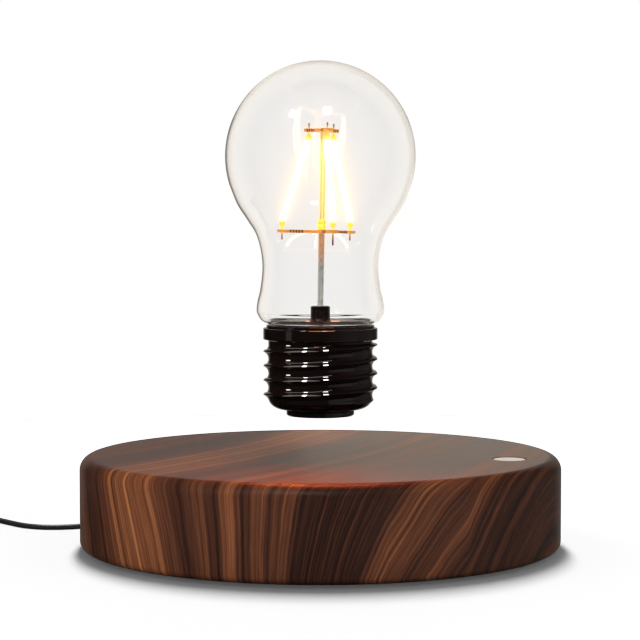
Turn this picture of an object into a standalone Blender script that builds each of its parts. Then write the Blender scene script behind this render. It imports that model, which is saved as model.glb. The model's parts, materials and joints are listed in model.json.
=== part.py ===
"""Levitating lamp: a clear filament bulb with a black screw body that floats over a round wooden base.

Units are metres and +Z is up. The base's axis is the Z axis, and the surface that the base stands on is z = 0.
The front is -Y, and the touch disc is at the right, +X.
"""
import math

import bmesh
import bpy
import numpy as np
from mathutils import Matrix, Vector

# Units and clearances
MM = 0.001
GAP = 0.3 * MM  # between pieces that meet
OVERRUN = 1.0 * MM  # how far a cutter runs past the face it cuts, and a joined form into its piece
MERGE = 0.001 * MM  # points nearer than this are one point

# Wooden base
WOOD_RADIUS = 75 * MM
WOOD_HEIGHT = 28 * MM
WOOD_TOP_ROUND = 4 * MM
WOOD_BOTTOM_ROUND = 2 * MM
WOOD_ROOF = 4 * MM  # thickness over the cavity
WOOD_RIM = 6 * MM  # the wood that stays outside the bottom cover
COVER_LEDGE = 7 * MM  # width of the step that the cover seats on

# Bottom cover, its screws and the feet
FOOT_HEIGHT = 1.2 * MM
FOOT_RADIUS = 5.5 * MM
FOOT_EDGE = 0.3 * MM
FOOT_INSET = 8 * MM  # from the cavity's wall to a foot's middle
FOOT_COUNT = 4
FOOT_ANGLE = 45  # degrees round from +X to the first foot
COVER_THICKNESS = 2.5 * MM
COVER_RECESS = 0.5 * MM  # how far the cover sits inside the wood's underside
COVER_SCREW_COUNT = 3
COVER_SCREW_ANGLE = 90  # degrees
COVER_SCREW_LENGTH = 9 * MM
POST_RADIUS = 3.2 * MM
POST_HEIGHT = 3 * MM

# Pan-head screws
SCREW_RADIUS = 1.3 * MM
SCREW_HEAD_RADIUS = 2.5 * MM
SCREW_HEAD_HEIGHT = 1.3 * MM
SCREW_SLOT_WIDTH = 0.6 * MM
SCREW_SLOT_DEPTH = 0.6 * MM

# Control board
BOARD_CLEARANCE = 4 * MM  # to the cavity's wall
BOARD_THICKNESS = 1.6 * MM
CHIP_HEIGHT = 1.8 * MM
CAPACITOR_RADIUS = 3.2 * MM
CAPACITOR_HEIGHT = 9 * MM
CAPACITOR_INSET = 6 * MM  # from the board's edge
CAPACITOR_ANGLES = [175, 195]
CHIP_ANGLES = [0, 75, 200, 290]

# Levitation module
TRAY_RIM = 3 * MM  # from a screw's middle to the tray's edge
TRAY_THICKNESS = 2 * MM
TRAY_LEG_HEIGHT = 4 * MM
TRAY_LEG_RADIUS = 2.8 * MM
TRAY_SCREW_COUNT = 3
TRAY_SCREW_ANGLE = 30  # degrees
TRAY_SCREW_CLEARANCE = 0.7 * MM  # from a screw's head to the magnet's lip
TRAY_LIP = 1.2 * MM  # the low wall that centres the magnet
TRAY_LIP_HEIGHT = 2 * MM
MAGNET_OUTER = 38 * MM
MAGNET_INNER = 25 * MM
MAGNET_HEIGHT = 8 * MM
MAGNET_EDGE = 0.5 * MM
CORE_COUNT = 4
CORE_ANGLE = 45  # degrees
CORE_CIRCLE = 12 * MM
CORE_RADIUS = 2.6 * MM
WINDING_RADIUS = 7.6 * MM
WINDING_INSET = 0.4 * MM  # how far the winding stops short of its core's ends
HALL_BOARD_SIDE = 5 * MM
HALL_BOARD_THICKNESS = 1 * MM
HALL_SENSOR_SIDE = 3 * MM
HALL_SENSOR_HEIGHT = 1.2 * MM
TRANSMIT_OUTER = 22 * MM
TRANSMIT_INNER = 12 * MM
TRANSMIT_THICKNESS = 0.9 * MM

# Touch disc
TOUCH_INSET = 15.33 * MM  # from the base's edge to the disc's middle
TOUCH_ANGLE = -13.57  # degrees
TOUCH_RADIUS = 5 * MM
TOUCH_THICKNESS = 1.2 * MM
TOUCH_EDGE = 0.3 * MM
TOUCH_RECESS = 0.1 * MM  # how far its face lies under the wood's top
TOUCH_STEM_RADIUS = 1.2 * MM
TOUCH_STEM_REACH = 1 * MM  # how far the stem stands out under the roof
TOUCH_LEAD_RADIUS = 0.6 * MM
# Way of the touch disc's wire: shares of its step inwards and of its drop
TOUCH_LEAD_SHARES = [(0, 0), (0, 0.15), (0.2, 0.38), (0.6, 0.62), (0.95, 0.82), (1, 1)]

# Power socket and the angled plug in it
JACK_ANGLE = 120  # degrees round from +X, at the back left
JACK_DEPTH = 14 * MM
JACK_WIDTH = 9 * MM
JACK_HEIGHT = 11 * MM
JACK_EDGE = 0.5 * MM
JACK_BORE_RADIUS = 3.15 * MM
JACK_BORE_DEPTH = 10.5 * MM
JACK_PIN_RADIUS = 1 * MM
JACK_PIN_LENGTH = 8.5 * MM
PLUG_NECK_RADIUS = 4.6 * MM
PLUG_BARREL_RADIUS = 2.75 * MM
PLUG_BARREL_LENGTH = 9.5 * MM
PLUG_BARREL_BORE = 1.35 * MM
PLUG_STANDOFF = 0.8 * MM  # between the wall and the plug's angled body
PLUG_DEPTH = 9 * MM
PLUG_WIDTH = 12 * MM
PLUG_HEIGHT = 10 * MM
PLUG_EDGE = 1.5 * MM
RELIEF_LENGTH = 14 * MM
RELIEF_ROOT_RADIUS = 2.5 * MM
RELIEF_TIP_RADIUS = 1.2 * MM

# Floating bulb, from the bottom up
LEVITATION_GAP = 12.2 * MM
CAP_RADIUS = 10.6 * MM
CAP_HEIGHT = 1.6 * MM
CAP_EDGE = 0.5 * MM
CAP_SPIGOT_RADIUS = 9 * MM
CAP_SPIGOT_HEIGHT = 1.9 * MM
SHELL_HEIGHT = 21.6 * MM
SHELL_FLOOR = 2.1 * MM
SHELL_BORE = 14 * MM
THREAD_CREST = 17.9 * MM
THREAD_ROOT = 16.3 * MM
THREAD_PITCH = 4.5 * MM
THREAD_CREST_HEIGHT = 18 * MM  # of a crest over the shell's bottom, at the left
THREAD_RUNOUT = 2.4 * MM
SHELL_COLUMN_COUNT = 32
SHELL_ROW_COUNT = 5
DOME_HEIGHT = 3.6 * MM
DOME_FOOT_RADIUS = 11.4 * MM
COLLAR_RADIUS = 17.9 * MM
COLLAR_HEIGHT = 3.6 * MM
COLLAR_EDGE = 0.35 * MM
COLLAR_LIP_RADIUS = 16.9 * MM
COLLAR_LIP_HEIGHT = 0.9 * MM
COLLAR_BORE = 12.5 * MM
COLLAR_LEDGE_DROP = 2 * MM  # how deep the glass stands in the collar
COLLAR_SPIGOT_HEIGHT = 3 * MM
SEAT_THICKNESS = 3 * MM
BOSS_RADIUS = 3.05 * MM
BOSS_HEIGHT = 5.2 * MM
BOSS_EDGE = 0.5 * MM
BOSS_FOOT_RADIUS = 3.6 * MM
BOSS_FOOT_HEIGHT = 0.9 * MM

# Glass
GLASS_WALL = 0.8 * MM
GLASS_HEAD_RADIUS = 29.7 * MM
GLASS_WAIST_RADIUS = 18.1 * MM
GLASS_SWELL_RADIUS = 19.95 * MM
GLASS_MOUTH_RADIUS = 16.1 * MM
GLASS_HEIGHT = 84.9 * MM  # from the mouth's edge to the top
# Places on the side below the head's arc: shares of the step between two radii and of the glass's height
GLASS_SHOULDER_SHARES = [(0.84, 0.530), (0.665, 0.472), (0.40, 0.416), (0.175, 0.366), (0.045, 0.305)]
GLASS_SWELL_SHARES = [(0.35, 0.165), (0.82, 0.120)]
GLASS_WAIST_HEIGHT_SHARE = 0.240
GLASS_SWELL_HEIGHT_SHARE = 0.084
GLASS_UNDER_SHARES = [(0.86, 0.065), (0.61, 0.048), (0.28, 0.039), (0, 0.0355)]
HEAD_ARC_SHARE = 0.585  # of a half turn, down from the top
HEAD_STEP_COUNT = 8

# Wire frame in the glass, measured along the rod from its lower end
ROD_RADIUS = 0.95 * MM
ROD_SINK = 7 * MM  # how far the rod reaches down from the boss's top
ROD_PLAY = 0.5 * MM  # room round the rod, which leans a little in its bore
FRAME_LEAN = 0.95  # degrees towards +X: the frame stands a little out of true
SLEEVE_RADIUS = 1.7 * MM
SLEEVE_LENGTH = 2.6 * MM
PLATE_THICKNESS = 1 * MM
PLATE_ARM_WIDTH = 3 * MM
LOWER_PLATE_HEIGHT = 23.6 * MM  # over the boss's top
UPPER_PLATE_HEIGHT = 54.8 * MM
LOWER_PLATE_REACH = 14.3 * MM
UPPER_PLATE_REACH = 6 * MM
FILAMENT_ANGLES = [165.4, 285.4, 45.4]  # degrees round from +X
FILAMENT_FOOT_CIRCLE = 12.9 * MM
FILAMENT_HEAD_CIRCLE = 4.65 * MM
FILAMENT_RADIUS = 1 * MM
TAB_LENGTH = 1.9 * MM
TAB_WIDTH = 1.5 * MM
TAB_THICKNESS = 0.5 * MM
PIN_WIDTH = 0.5 * MM
LOWER_PIN_REACHES = [2.4 * MM, 4 * MM, 2.4 * MM]  # under the lower plate, one for each filament
UPPER_PIN_REACH = 1.8 * MM

# Magnet and electronics in the screw shell
RECEIVER_RADIUS = 13.4 * MM
RECEIVER_INNER = 8 * MM
RECEIVER_THICKNESS = 1.2 * MM
FLOAT_MAGNET_RADIUS = 13.5 * MM
FLOAT_MAGNET_HEIGHT = 6 * MM
RECEIVER_BOARD_THICKNESS = 1.2 * MM

# Low-voltage lead, put away in a tied coil, and the wall adapter on its end
CORD_RADIUS = 0.75 * MM
CORD_STEP = 3.2 * MM
CORD_FLOOR = 0.8 * MM
# The lead's way from the plug's relief over the surface to the coil
CORD_ROUTE = [
    (-62.5 * MM, 56.0 * MM, 13.6 * MM),
    (-66.6 * MM, 52.6 * MM, 10.2 * MM),
    (-70.0 * MM, 48.6 * MM, 5.8 * MM),
    (-72.6 * MM, 44.4 * MM, 2.6 * MM),
    (-74.9 * MM, 40.0 * MM, 1.2 * MM),
    (-77.4 * MM, 36.2 * MM, CORD_FLOOR),
    (-81.2 * MM, 33.4 * MM, CORD_FLOOR),
    (-86.6 * MM, 31.9 * MM, CORD_FLOOR),
    (-92.7 * MM, 32.2 * MM, CORD_FLOOR),
    (-98.6 * MM, 35.4 * MM, CORD_FLOOR),
    (-104.0 * MM, 41.2 * MM, CORD_FLOOR),
    (-109.2 * MM, 47.6 * MM, CORD_FLOOR),
    (-112.8 * MM, 52.4 * MM, CORD_FLOOR),
]
# The short way from the coil down to the surface, round and up to the adapter
TAIL_ROUTE = [
    (-143.8 * MM, 48.0 * MM, 7.0 * MM),
    (-144.0 * MM, 38.0 * MM, 4.9 * MM),
    (-144.0 * MM, 28.0 * MM, 2.6 * MM),
    (-144.0 * MM, 18.0 * MM, 1.2 * MM),
    (-144.0 * MM, 8.0 * MM, CORD_FLOOR),
    (-144.0 * MM, -3.0 * MM, CORD_FLOOR),
    (-144.1 * MM, -14.2 * MM, CORD_FLOOR),
    (-146.1 * MM, -19.1 * MM, CORD_FLOOR),
    (-151.0 * MM, -21.2 * MM, CORD_FLOOR),
    (-155.9 * MM, -19.1 * MM, CORD_FLOOR),
    (-158.0 * MM, -14.2 * MM, 1.0 * MM),
    (-158.0 * MM, -8.0 * MM, 2.0 * MM),
    (-158.0 * MM, -1.6 * MM, 4.0 * MM),
]
COIL_X = -129 * MM
COIL_Y = 60 * MM
COIL_LAYER_COUNT = 4
COIL_LAYER_TURN_COUNT = 4
COIL_TURN_POINT_COUNT = 24
COIL_PITCH = 2.14 * MM  # between turns, sideways and upwards
COIL_MIDDLE_RADIUS = 10.4 * MM
COIL_START_ANGLE = 0  # degrees round the coil's centre, where the lead comes in at its right side
TIE_THICKNESS = 0.4 * MM
TIE_WIDTH = 3 * MM
ADAPTER_X = -150 * MM  # its right face
ADAPTER_Y = 20 * MM  # its front face
ADAPTER_LENGTH = 52 * MM
ADAPTER_HEIGHT = 36 * MM
ADAPTER_CASE_DEPTH = 20 * MM
ADAPTER_COVER_DEPTH = 4 * MM
ADAPTER_EDGE = 2 * MM
ADAPTER_RELIEF_INSET = 8 * MM  # of the lead's entry from the right face
ADAPTER_RELIEF_HEIGHT = 6 * MM
ADAPTER_RELIEF_LENGTH = 12 * MM
BLADE_LENGTH = 17 * MM
BLADE_WIDTH = 6.3 * MM
BLADE_THICKNESS = 1.5 * MM
BLADE_SPACING = 12.7 * MM
BLADE_SINK = 2.5 * MM
BLADE_EDGE = 0.4 * MM

# Facets round a full turn
FACE_COUNT_FINE = 40
FACE_COUNT = 28
FACE_COUNT_SMALL = 12
FACE_COUNT_TINY = 8

# Radii and heights worked out from the sizes above
REBATE_RADIUS = WOOD_RADIUS - WOOD_RIM
CAVITY_RADIUS = REBATE_RADIUS - COVER_LEDGE
COVER_SCREW_CIRCLE = REBATE_RADIUS - COVER_LEDGE / 2
FOOT_CIRCLE = CAVITY_RADIUS - FOOT_INSET
BOARD_RADIUS = CAVITY_RADIUS - BOARD_CLEARANCE
CAPACITOR_CIRCLE = BOARD_RADIUS - CAPACITOR_INSET
TOUCH_CIRCLE = WOOD_RADIUS - TOUCH_INSET
TRAY_SCREW_CIRCLE = MAGNET_OUTER + GAP + TRAY_LIP + TRAY_SCREW_CLEARANCE + SCREW_HEAD_RADIUS
TRAY_RADIUS = TRAY_SCREW_CIRCLE + TRAY_RIM
COVER_BOTTOM = FOOT_HEIGHT + GAP
COVER_TOP = COVER_BOTTOM + COVER_THICKNESS
WOOD_BOTTOM = COVER_BOTTOM - COVER_RECESS
WOOD_TOP = WOOD_BOTTOM + WOOD_HEIGHT
CAVITY_TOP = WOOD_TOP - WOOD_ROOF
BOARD_BOTTOM = COVER_TOP + POST_HEIGHT + GAP
BOARD_TOP = BOARD_BOTTOM + BOARD_THICKNESS
TRAY_BOTTOM = BOARD_TOP + GAP + TRAY_LEG_HEIGHT
TRAY_TOP = TRAY_BOTTOM + TRAY_THICKNESS
MODULE_BOTTOM = TRAY_TOP + GAP
MODULE_TOP = MODULE_BOTTOM + MAGNET_HEIGHT
JACK_Z = BOARD_TOP + GAP + JACK_HEIGHT / 2
BULB_BOTTOM = WOOD_TOP + LEVITATION_GAP
SHELL_BOTTOM = BULB_BOTTOM + CAP_HEIGHT + GAP
SHELL_TOP = SHELL_BOTTOM + SHELL_HEIGHT
COLLAR_BOTTOM = SHELL_TOP + GAP
COLLAR_TOP = COLLAR_BOTTOM + COLLAR_HEIGHT
LEDGE = COLLAR_TOP - COLLAR_LEDGE_DROP
GLASS_BOTTOM = LEDGE + GAP
SEAT_TOP = GLASS_BOTTOM + SEAT_THICKNESS
BOSS_BOTTOM = SEAT_TOP + GAP
BOSS_TOP = BOSS_BOTTOM + BOSS_HEIGHT
FLOAT_MAGNET_BOTTOM = SHELL_BOTTOM + SHELL_FLOOR + GAP + RECEIVER_THICKNESS + GAP
SCREW_HOLE = SCREW_RADIUS + GAP


def finish(name, colour, roughness, metallic=0.0, alpha=1.0):
    """A Principled material of one colour."""
    material = bpy.data.materials.get(name) or bpy.data.materials.new(name)
    material.use_nodes = True
    shader = material.node_tree.nodes["Principled BSDF"]
    shader.inputs["Base Color"].default_value = (*colour, 1)
    shader.inputs["Roughness"].default_value = roughness
    shader.inputs["Metallic"].default_value = metallic
    shader.inputs["Alpha"].default_value = alpha
    material.diffuse_color = (*colour, alpha)
    return material


def add(name, mesh, material, parent=None, place=None):
    """Puts a mesh in the scene as one named sub-part with its own material."""
    thing = bpy.data.objects.new(name, mesh)
    bpy.context.scene.collection.objects.link(thing)
    if not mesh.materials:
        mesh.materials.append(material)
    thing.parent = parent
    thing.matrix_local = place or Matrix()
    return thing


def closed_mesh(name, bm, smooth=True):
    """Turns a bmesh into a mesh with its faces pointing out, round sides shaded smooth."""
    bmesh.ops.remove_doubles(bm, verts=bm.verts, dist=MERGE)
    bmesh.ops.recalc_face_normals(bm, faces=bm.faces)
    mesh = bpy.data.meshes.new(name)
    bm.to_mesh(mesh)
    bm.free()
    if smooth:
        mesh.shade_smooth()
        mesh.set_sharp_from_angle(angle=math.radians(40))
    return mesh


def turned(name, outline, segments=FACE_COUNT):
    """A solid turned about Z from (radius, height) points, which end on the axis or run round a ring."""
    bm = bmesh.new()
    points = [bm.verts.new((radius, 0, z)) for radius, z in outline]
    ends_on_axis = outline[0][0] == 0 and outline[-1][0] == 0
    pairs = list(zip(points, points[1:]))
    if not ends_on_axis:
        pairs.append((points[-1], points[0]))
    edges = [bm.edges.new(pair) for pair in pairs]
    bmesh.ops.spin(
        bm,
        geom=points + edges,
        cent=(0, 0, 0),
        axis=(0, 0, 1),
        angle=2 * math.pi,
        steps=segments,
        use_merge=True,
    )
    return closed_mesh(name, bm)


def disc(radius, low, high, edge=0.0):
    """Outline of a solid disc whose two rims are chamfered by edge."""
    if not edge:
        return [(0, high), (radius, high), (radius, low), (0, low)]
    return [
        (0, high),
        (radius - edge, high),
        (radius, high - edge),
        (radius, low + edge),
        (radius - edge, low),
        (0, low),
    ]


def ring(outer, inner, low, high, edge=0.0):
    """Outline of a ring whose outer rims are chamfered by edge."""
    if not edge:
        return [(inner, high), (outer, high), (outer, low), (inner, low)]
    return [
        (inner, high),
        (outer - edge, high),
        (outer, high - edge),
        (outer, low + edge),
        (outer - edge, low),
        (inner, low),
    ]


def arc(centre, radii, start, end, steps):
    """Points of an elliptical arc in the outline's plane, from start to end in degrees."""
    return [
        (
            centre[0] + radii[0] * math.cos(math.radians(angle)),
            centre[1] + radii[1] * math.sin(math.radians(angle)),
        )
        for angle in np.linspace(start, end, steps + 1)
    ]


def block(name, size, centre, edge=0.0):
    """A box of the given size and centre, its edges rounded off by edge."""
    bm = bmesh.new()
    bmesh.ops.create_cube(bm, size=1)
    bmesh.ops.scale(bm, vec=size, verts=bm.verts)
    bmesh.ops.translate(bm, vec=centre, verts=bm.verts)
    if edge:
        bmesh.ops.bevel(bm, geom=bm.edges, offset=edge, segments=2, profile=0.5, affect="EDGES")
    return closed_mesh(name, bm)


def plate(name, outline, low, high):
    """A flat outline in X and Y, extruded from low to high."""
    bm = bmesh.new()
    face = bm.faces.new([bm.verts.new((x, y, low)) for x, y in outline])
    side = bmesh.ops.extrude_face_region(bm, geom=[face])
    top = [part for part in side["geom"] if isinstance(part, bmesh.types.BMVert)]
    bmesh.ops.translate(bm, vec=(0, 0, high - low), verts=top)
    return closed_mesh(name, bm, smooth=False)


def polar(radius, degrees, z=0.0):
    """The point at a radius and an angle round Z."""
    angle = math.radians(degrees)
    return Vector((radius * math.cos(angle), radius * math.sin(angle), z))


def facing(degrees, origin=(0, 0, 0)):
    """A place turned about Z, so that its own X points outwards at that angle."""
    return Matrix.Translation(origin) @ Matrix.Rotation(math.radians(degrees), 4, "Z")


def lying_along_x(origin):
    """A place whose own Z points along X."""
    return Matrix.Translation(origin) @ Matrix.Rotation(math.pi / 2, 4, "Y")


def shaped(thing, forms, operation):
    """Cuts each form out of a piece, or joins it to the piece."""
    for index, (mesh, place) in enumerate(forms):
        form = bpy.data.objects.new(f"{thing.name}_{operation.lower()}_{index}", mesh)
        bpy.context.scene.collection.objects.link(form)
        form.matrix_world = place
        form.hide_render = True
        form.display_type = "WIRE"
        step = thing.modifiers.new(form.name, "BOOLEAN")
        step.operation = operation
        step.solver = "EXACT"
        step.object = form


def hole(radius, low, high, at, segments=FACE_COUNT_SMALL):
    """A round cutter along Z at a point, and its place."""
    return turned("hole", disc(radius, low, high), segments), Matrix.Translation((at.x, at.y, 0))


def evenly(count, circle, first):
    """Points spaced evenly round a circle, from the first angle on."""
    return [polar(circle, first + 360 * index / count) for index in range(count)]


# Finishes
WALNUT = finish("dark_wood", (0.16, 0.07, 0.035), 0.42)
BLACK_PLASTIC = finish("black_plastic", (0.02, 0.02, 0.02), 0.5)
GLOSS_BLACK = finish("gloss_black", (0.012, 0.01, 0.01), 0.12)
RUBBER = finish("rubber", (0.03, 0.03, 0.03), 0.8)
STEEL = finish("zinc_steel", (0.62, 0.62, 0.63), 0.35, 1.0)
SATIN_STEEL = finish("satin_steel", (0.8, 0.76, 0.7), 0.3, 1.0)
FERRITE = finish("ferrite", (0.06, 0.06, 0.065), 0.6)
COPPER = finish("copper_wire", (0.72, 0.3, 0.13), 0.35, 1.0)
BOARD_GREEN = finish("circuit_board", (0.02, 0.16, 0.06), 0.45)
NICKEL = finish("nickel", (0.75, 0.74, 0.72), 0.2, 1.0)
GLASS = finish("clear_glass", (0.95, 0.96, 0.96), 0.02, 0.0, 0.2)
FILAMENT = finish("filament", (1.0, 0.78, 0.4), 0.5)
BRASS = finish("warm_brass", (0.8, 0.5, 0.2), 0.3, 1.0)
CORD_BLACK = finish("cord_black", (0.02, 0.022, 0.022), 0.45)

COVER_SCREWS = evenly(COVER_SCREW_COUNT, COVER_SCREW_CIRCLE, COVER_SCREW_ANGLE)
TRAY_SCREWS = evenly(TRAY_SCREW_COUNT, TRAY_SCREW_CIRCLE, TRAY_SCREW_ANGLE)


def make_wood_body():
    """The turned base: rounded rims, a cavity from below with a step for the cover, and its drilled holes."""
    top = WOOD_TOP - WOOD_TOP_ROUND
    bottom = WOOD_BOTTOM + WOOD_BOTTOM_ROUND
    outline = (
        [(0, WOOD_TOP)]
        + arc((WOOD_RADIUS - WOOD_TOP_ROUND, top), (WOOD_TOP_ROUND,) * 2, 90, 0, 5)
        + arc((WOOD_RADIUS - WOOD_BOTTOM_ROUND, bottom), (WOOD_BOTTOM_ROUND,) * 2, 0, -90, 3)
        + [
            (REBATE_RADIUS, WOOD_BOTTOM),
            (REBATE_RADIUS, COVER_TOP + GAP),
            (CAVITY_RADIUS, COVER_TOP + GAP),
            (CAVITY_RADIUS, CAVITY_TOP),
            (0, CAVITY_TOP),
        ]
    )
    wood = add("wood_body", turned("wood_body", outline, FACE_COUNT_FINE), WALNUT)
    pocket_floor = WOOD_TOP - TOUCH_RECESS - TOUCH_THICKNESS - GAP
    touch_hole = [
        (0, WOOD_TOP + OVERRUN),
        (TOUCH_RADIUS + GAP, WOOD_TOP + OVERRUN),
        (TOUCH_RADIUS + GAP, pocket_floor),
        (TOUCH_STEM_RADIUS + GAP, pocket_floor),
        (TOUCH_STEM_RADIUS + GAP, CAVITY_TOP - OVERRUN),
        (0, CAVITY_TOP - OVERRUN),
    ]
    jack_hole = disc(PLUG_NECK_RADIUS + GAP, CAVITY_RADIUS - OVERRUN, WOOD_RADIUS + OVERRUN)
    cuts = [
        (turned("touch_hole", touch_hole, FACE_COUNT), Matrix.Translation(polar(TOUCH_CIRCLE, TOUCH_ANGLE))),
        (turned("jack_hole", jack_hole, FACE_COUNT_SMALL), facing(JACK_ANGLE) @ lying_along_x((0, 0, JACK_Z))),
    ]
    screw_top = COVER_BOTTOM + COVER_SCREW_LENGTH + GAP
    cuts += [hole(SCREW_HOLE, COVER_TOP - OVERRUN, screw_top, at, FACE_COUNT_TINY) for at in COVER_SCREWS]
    shaped(wood, cuts, "DIFFERENCE")


def make_bottom_cover():
    """The black plate that closes the base, with three posts for the board and counterbored screw holes."""
    cover = add(
        "bottom_cover",
        turned("bottom_cover", disc(REBATE_RADIUS - GAP, COVER_BOTTOM, COVER_TOP), FACE_COUNT_FINE),
        BLACK_PLASTIC,
    )
    post_top = COVER_TOP + POST_HEIGHT
    shaped(cover, [hole(POST_RADIUS, COVER_TOP - OVERRUN, post_top, at) for at in TRAY_SCREWS], "UNION")
    head_seat = COVER_BOTTOM + SCREW_HEAD_HEIGHT + GAP
    cuts = [hole(SCREW_HOLE, COVER_TOP, post_top + OVERRUN, at, FACE_COUNT_TINY) for at in TRAY_SCREWS]
    for at in COVER_SCREWS:
        cuts.append(hole(SCREW_HOLE, COVER_BOTTOM, COVER_TOP + OVERRUN, at, FACE_COUNT_TINY))
        cuts.append(hole(SCREW_HEAD_RADIUS + GAP, COVER_BOTTOM - OVERRUN, head_seat, at))
    shaped(cover, cuts, "DIFFERENCE")


def make_screw(name, at, head_face, way, length):
    """A pan-head screw with a cross slot. way is 1 where it is driven downwards and -1 where upwards."""
    seat = head_face - way * SCREW_HEAD_HEIGHT
    tip = head_face - way * length
    head_edge = SCREW_HEAD_HEIGHT / 3
    outline = [
        (0, head_face),
        (SCREW_HEAD_RADIUS - head_edge, head_face),
        (SCREW_HEAD_RADIUS, head_face - way * head_edge),
        (SCREW_HEAD_RADIUS, seat),
        (SCREW_RADIUS, seat),
        (SCREW_RADIUS, tip + way * SCREW_RADIUS),
        (SCREW_RADIUS / 2, tip),
        (0, tip),
    ]
    screw = add(name, turned(name, outline, FACE_COUNT_TINY), STEEL, place=Matrix.Translation(at))
    slot_length = 2 * (SCREW_HEAD_RADIUS - 2 * head_edge)
    slot_height = SCREW_SLOT_DEPTH + OVERRUN
    middle = head_face + way * (OVERRUN - SCREW_SLOT_DEPTH) / 2
    slot = block("slot", (slot_length, SCREW_SLOT_WIDTH, slot_height), (0, 0, middle))
    cross = block("cross", (SCREW_SLOT_WIDTH, slot_length, slot_height), (0, 0, middle))
    shaped(screw, [(slot, Matrix.Translation(at)), (cross, Matrix.Translation(at))], "DIFFERENCE")


def make_screws():
    """The cover's screws, driven from below, and the module's, driven from above into the cover's posts."""
    for index, at in enumerate(COVER_SCREWS):
        make_screw(f"cover_screw_{index + 1}", at, COVER_BOTTOM, -1, COVER_SCREW_LENGTH)
    head_face = TRAY_TOP + GAP + SCREW_HEAD_HEIGHT
    for index, at in enumerate(TRAY_SCREWS):
        make_screw(f"tray_screw_{index + 1}", at, head_face, 1, head_face - COVER_TOP - GAP)


def make_feet():
    """Four rubber feet under the cover."""
    mesh = turned("foot", disc(FOOT_RADIUS, 0, FOOT_HEIGHT, FOOT_EDGE), FACE_COUNT_SMALL)
    for index, at in enumerate(evenly(FOOT_COUNT, FOOT_CIRCLE, FOOT_ANGLE)):
        add(f"foot_{index + 1}", mesh, RUBBER, place=Matrix.Translation(at))


def make_control_board():
    """The round circuit board on the cover's posts, with its chips and smoothing capacitors."""
    board_disc = disc(BOARD_RADIUS, BOARD_BOTTOM, BOARD_TOP)
    board = add("control_board", turned("control_board", board_disc), BOARD_GREEN)
    chip_size = (4 * CHIP_HEIGHT, 3 * CHIP_HEIGHT, CHIP_HEIGHT + OVERRUN)
    chip = block("chip", chip_size, (0, 0, BOARD_TOP + (CHIP_HEIGHT - OVERRUN) / 2))
    can_disc = disc(CAPACITOR_RADIUS, BOARD_TOP - OVERRUN, BOARD_TOP + CAPACITOR_HEIGHT)
    can = turned("capacitor", can_disc, FACE_COUNT_SMALL)
    chip_circle = BOARD_RADIUS / 2
    joined = [(chip, facing(angle, polar(chip_circle, angle))) for angle in CHIP_ANGLES]
    joined += [(can, facing(angle, polar(CAPACITOR_CIRCLE, angle))) for angle in CAPACITOR_ANGLES]
    shaped(board, joined, "UNION")
    low = BOARD_BOTTOM - OVERRUN
    high = BOARD_TOP + OVERRUN
    cuts = [hole(SCREW_HOLE, low, high, at, FACE_COUNT_TINY) for at in TRAY_SCREWS]
    shaped(board, cuts, "DIFFERENCE")


def make_module_tray():
    """The tray of the magnet and the coils: a disc on three hollow legs, with a lip round the magnet."""
    lip_inner = MAGNET_OUTER + GAP
    lip_outer = lip_inner + TRAY_LIP
    outline = [
        (0, TRAY_TOP),
        (lip_inner, TRAY_TOP),
        (lip_inner, TRAY_TOP + TRAY_LIP_HEIGHT),
        (lip_outer, TRAY_TOP + TRAY_LIP_HEIGHT),
        (lip_outer, TRAY_TOP),
        (TRAY_RADIUS, TRAY_TOP),
        (TRAY_RADIUS, TRAY_BOTTOM),
        (0, TRAY_BOTTOM),
    ]
    tray = add("module_tray", turned("module_tray", outline, FACE_COUNT), BLACK_PLASTIC)
    leg_foot = BOARD_TOP + GAP
    shaped(tray, [hole(TRAY_LEG_RADIUS, leg_foot, TRAY_BOTTOM + OVERRUN, at) for at in TRAY_SCREWS], "UNION")
    cuts = [hole(SCREW_HOLE, leg_foot - OVERRUN, TRAY_TOP + OVERRUN, at, FACE_COUNT_TINY) for at in TRAY_SCREWS]
    shaped(tray, cuts, "DIFFERENCE")


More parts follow.
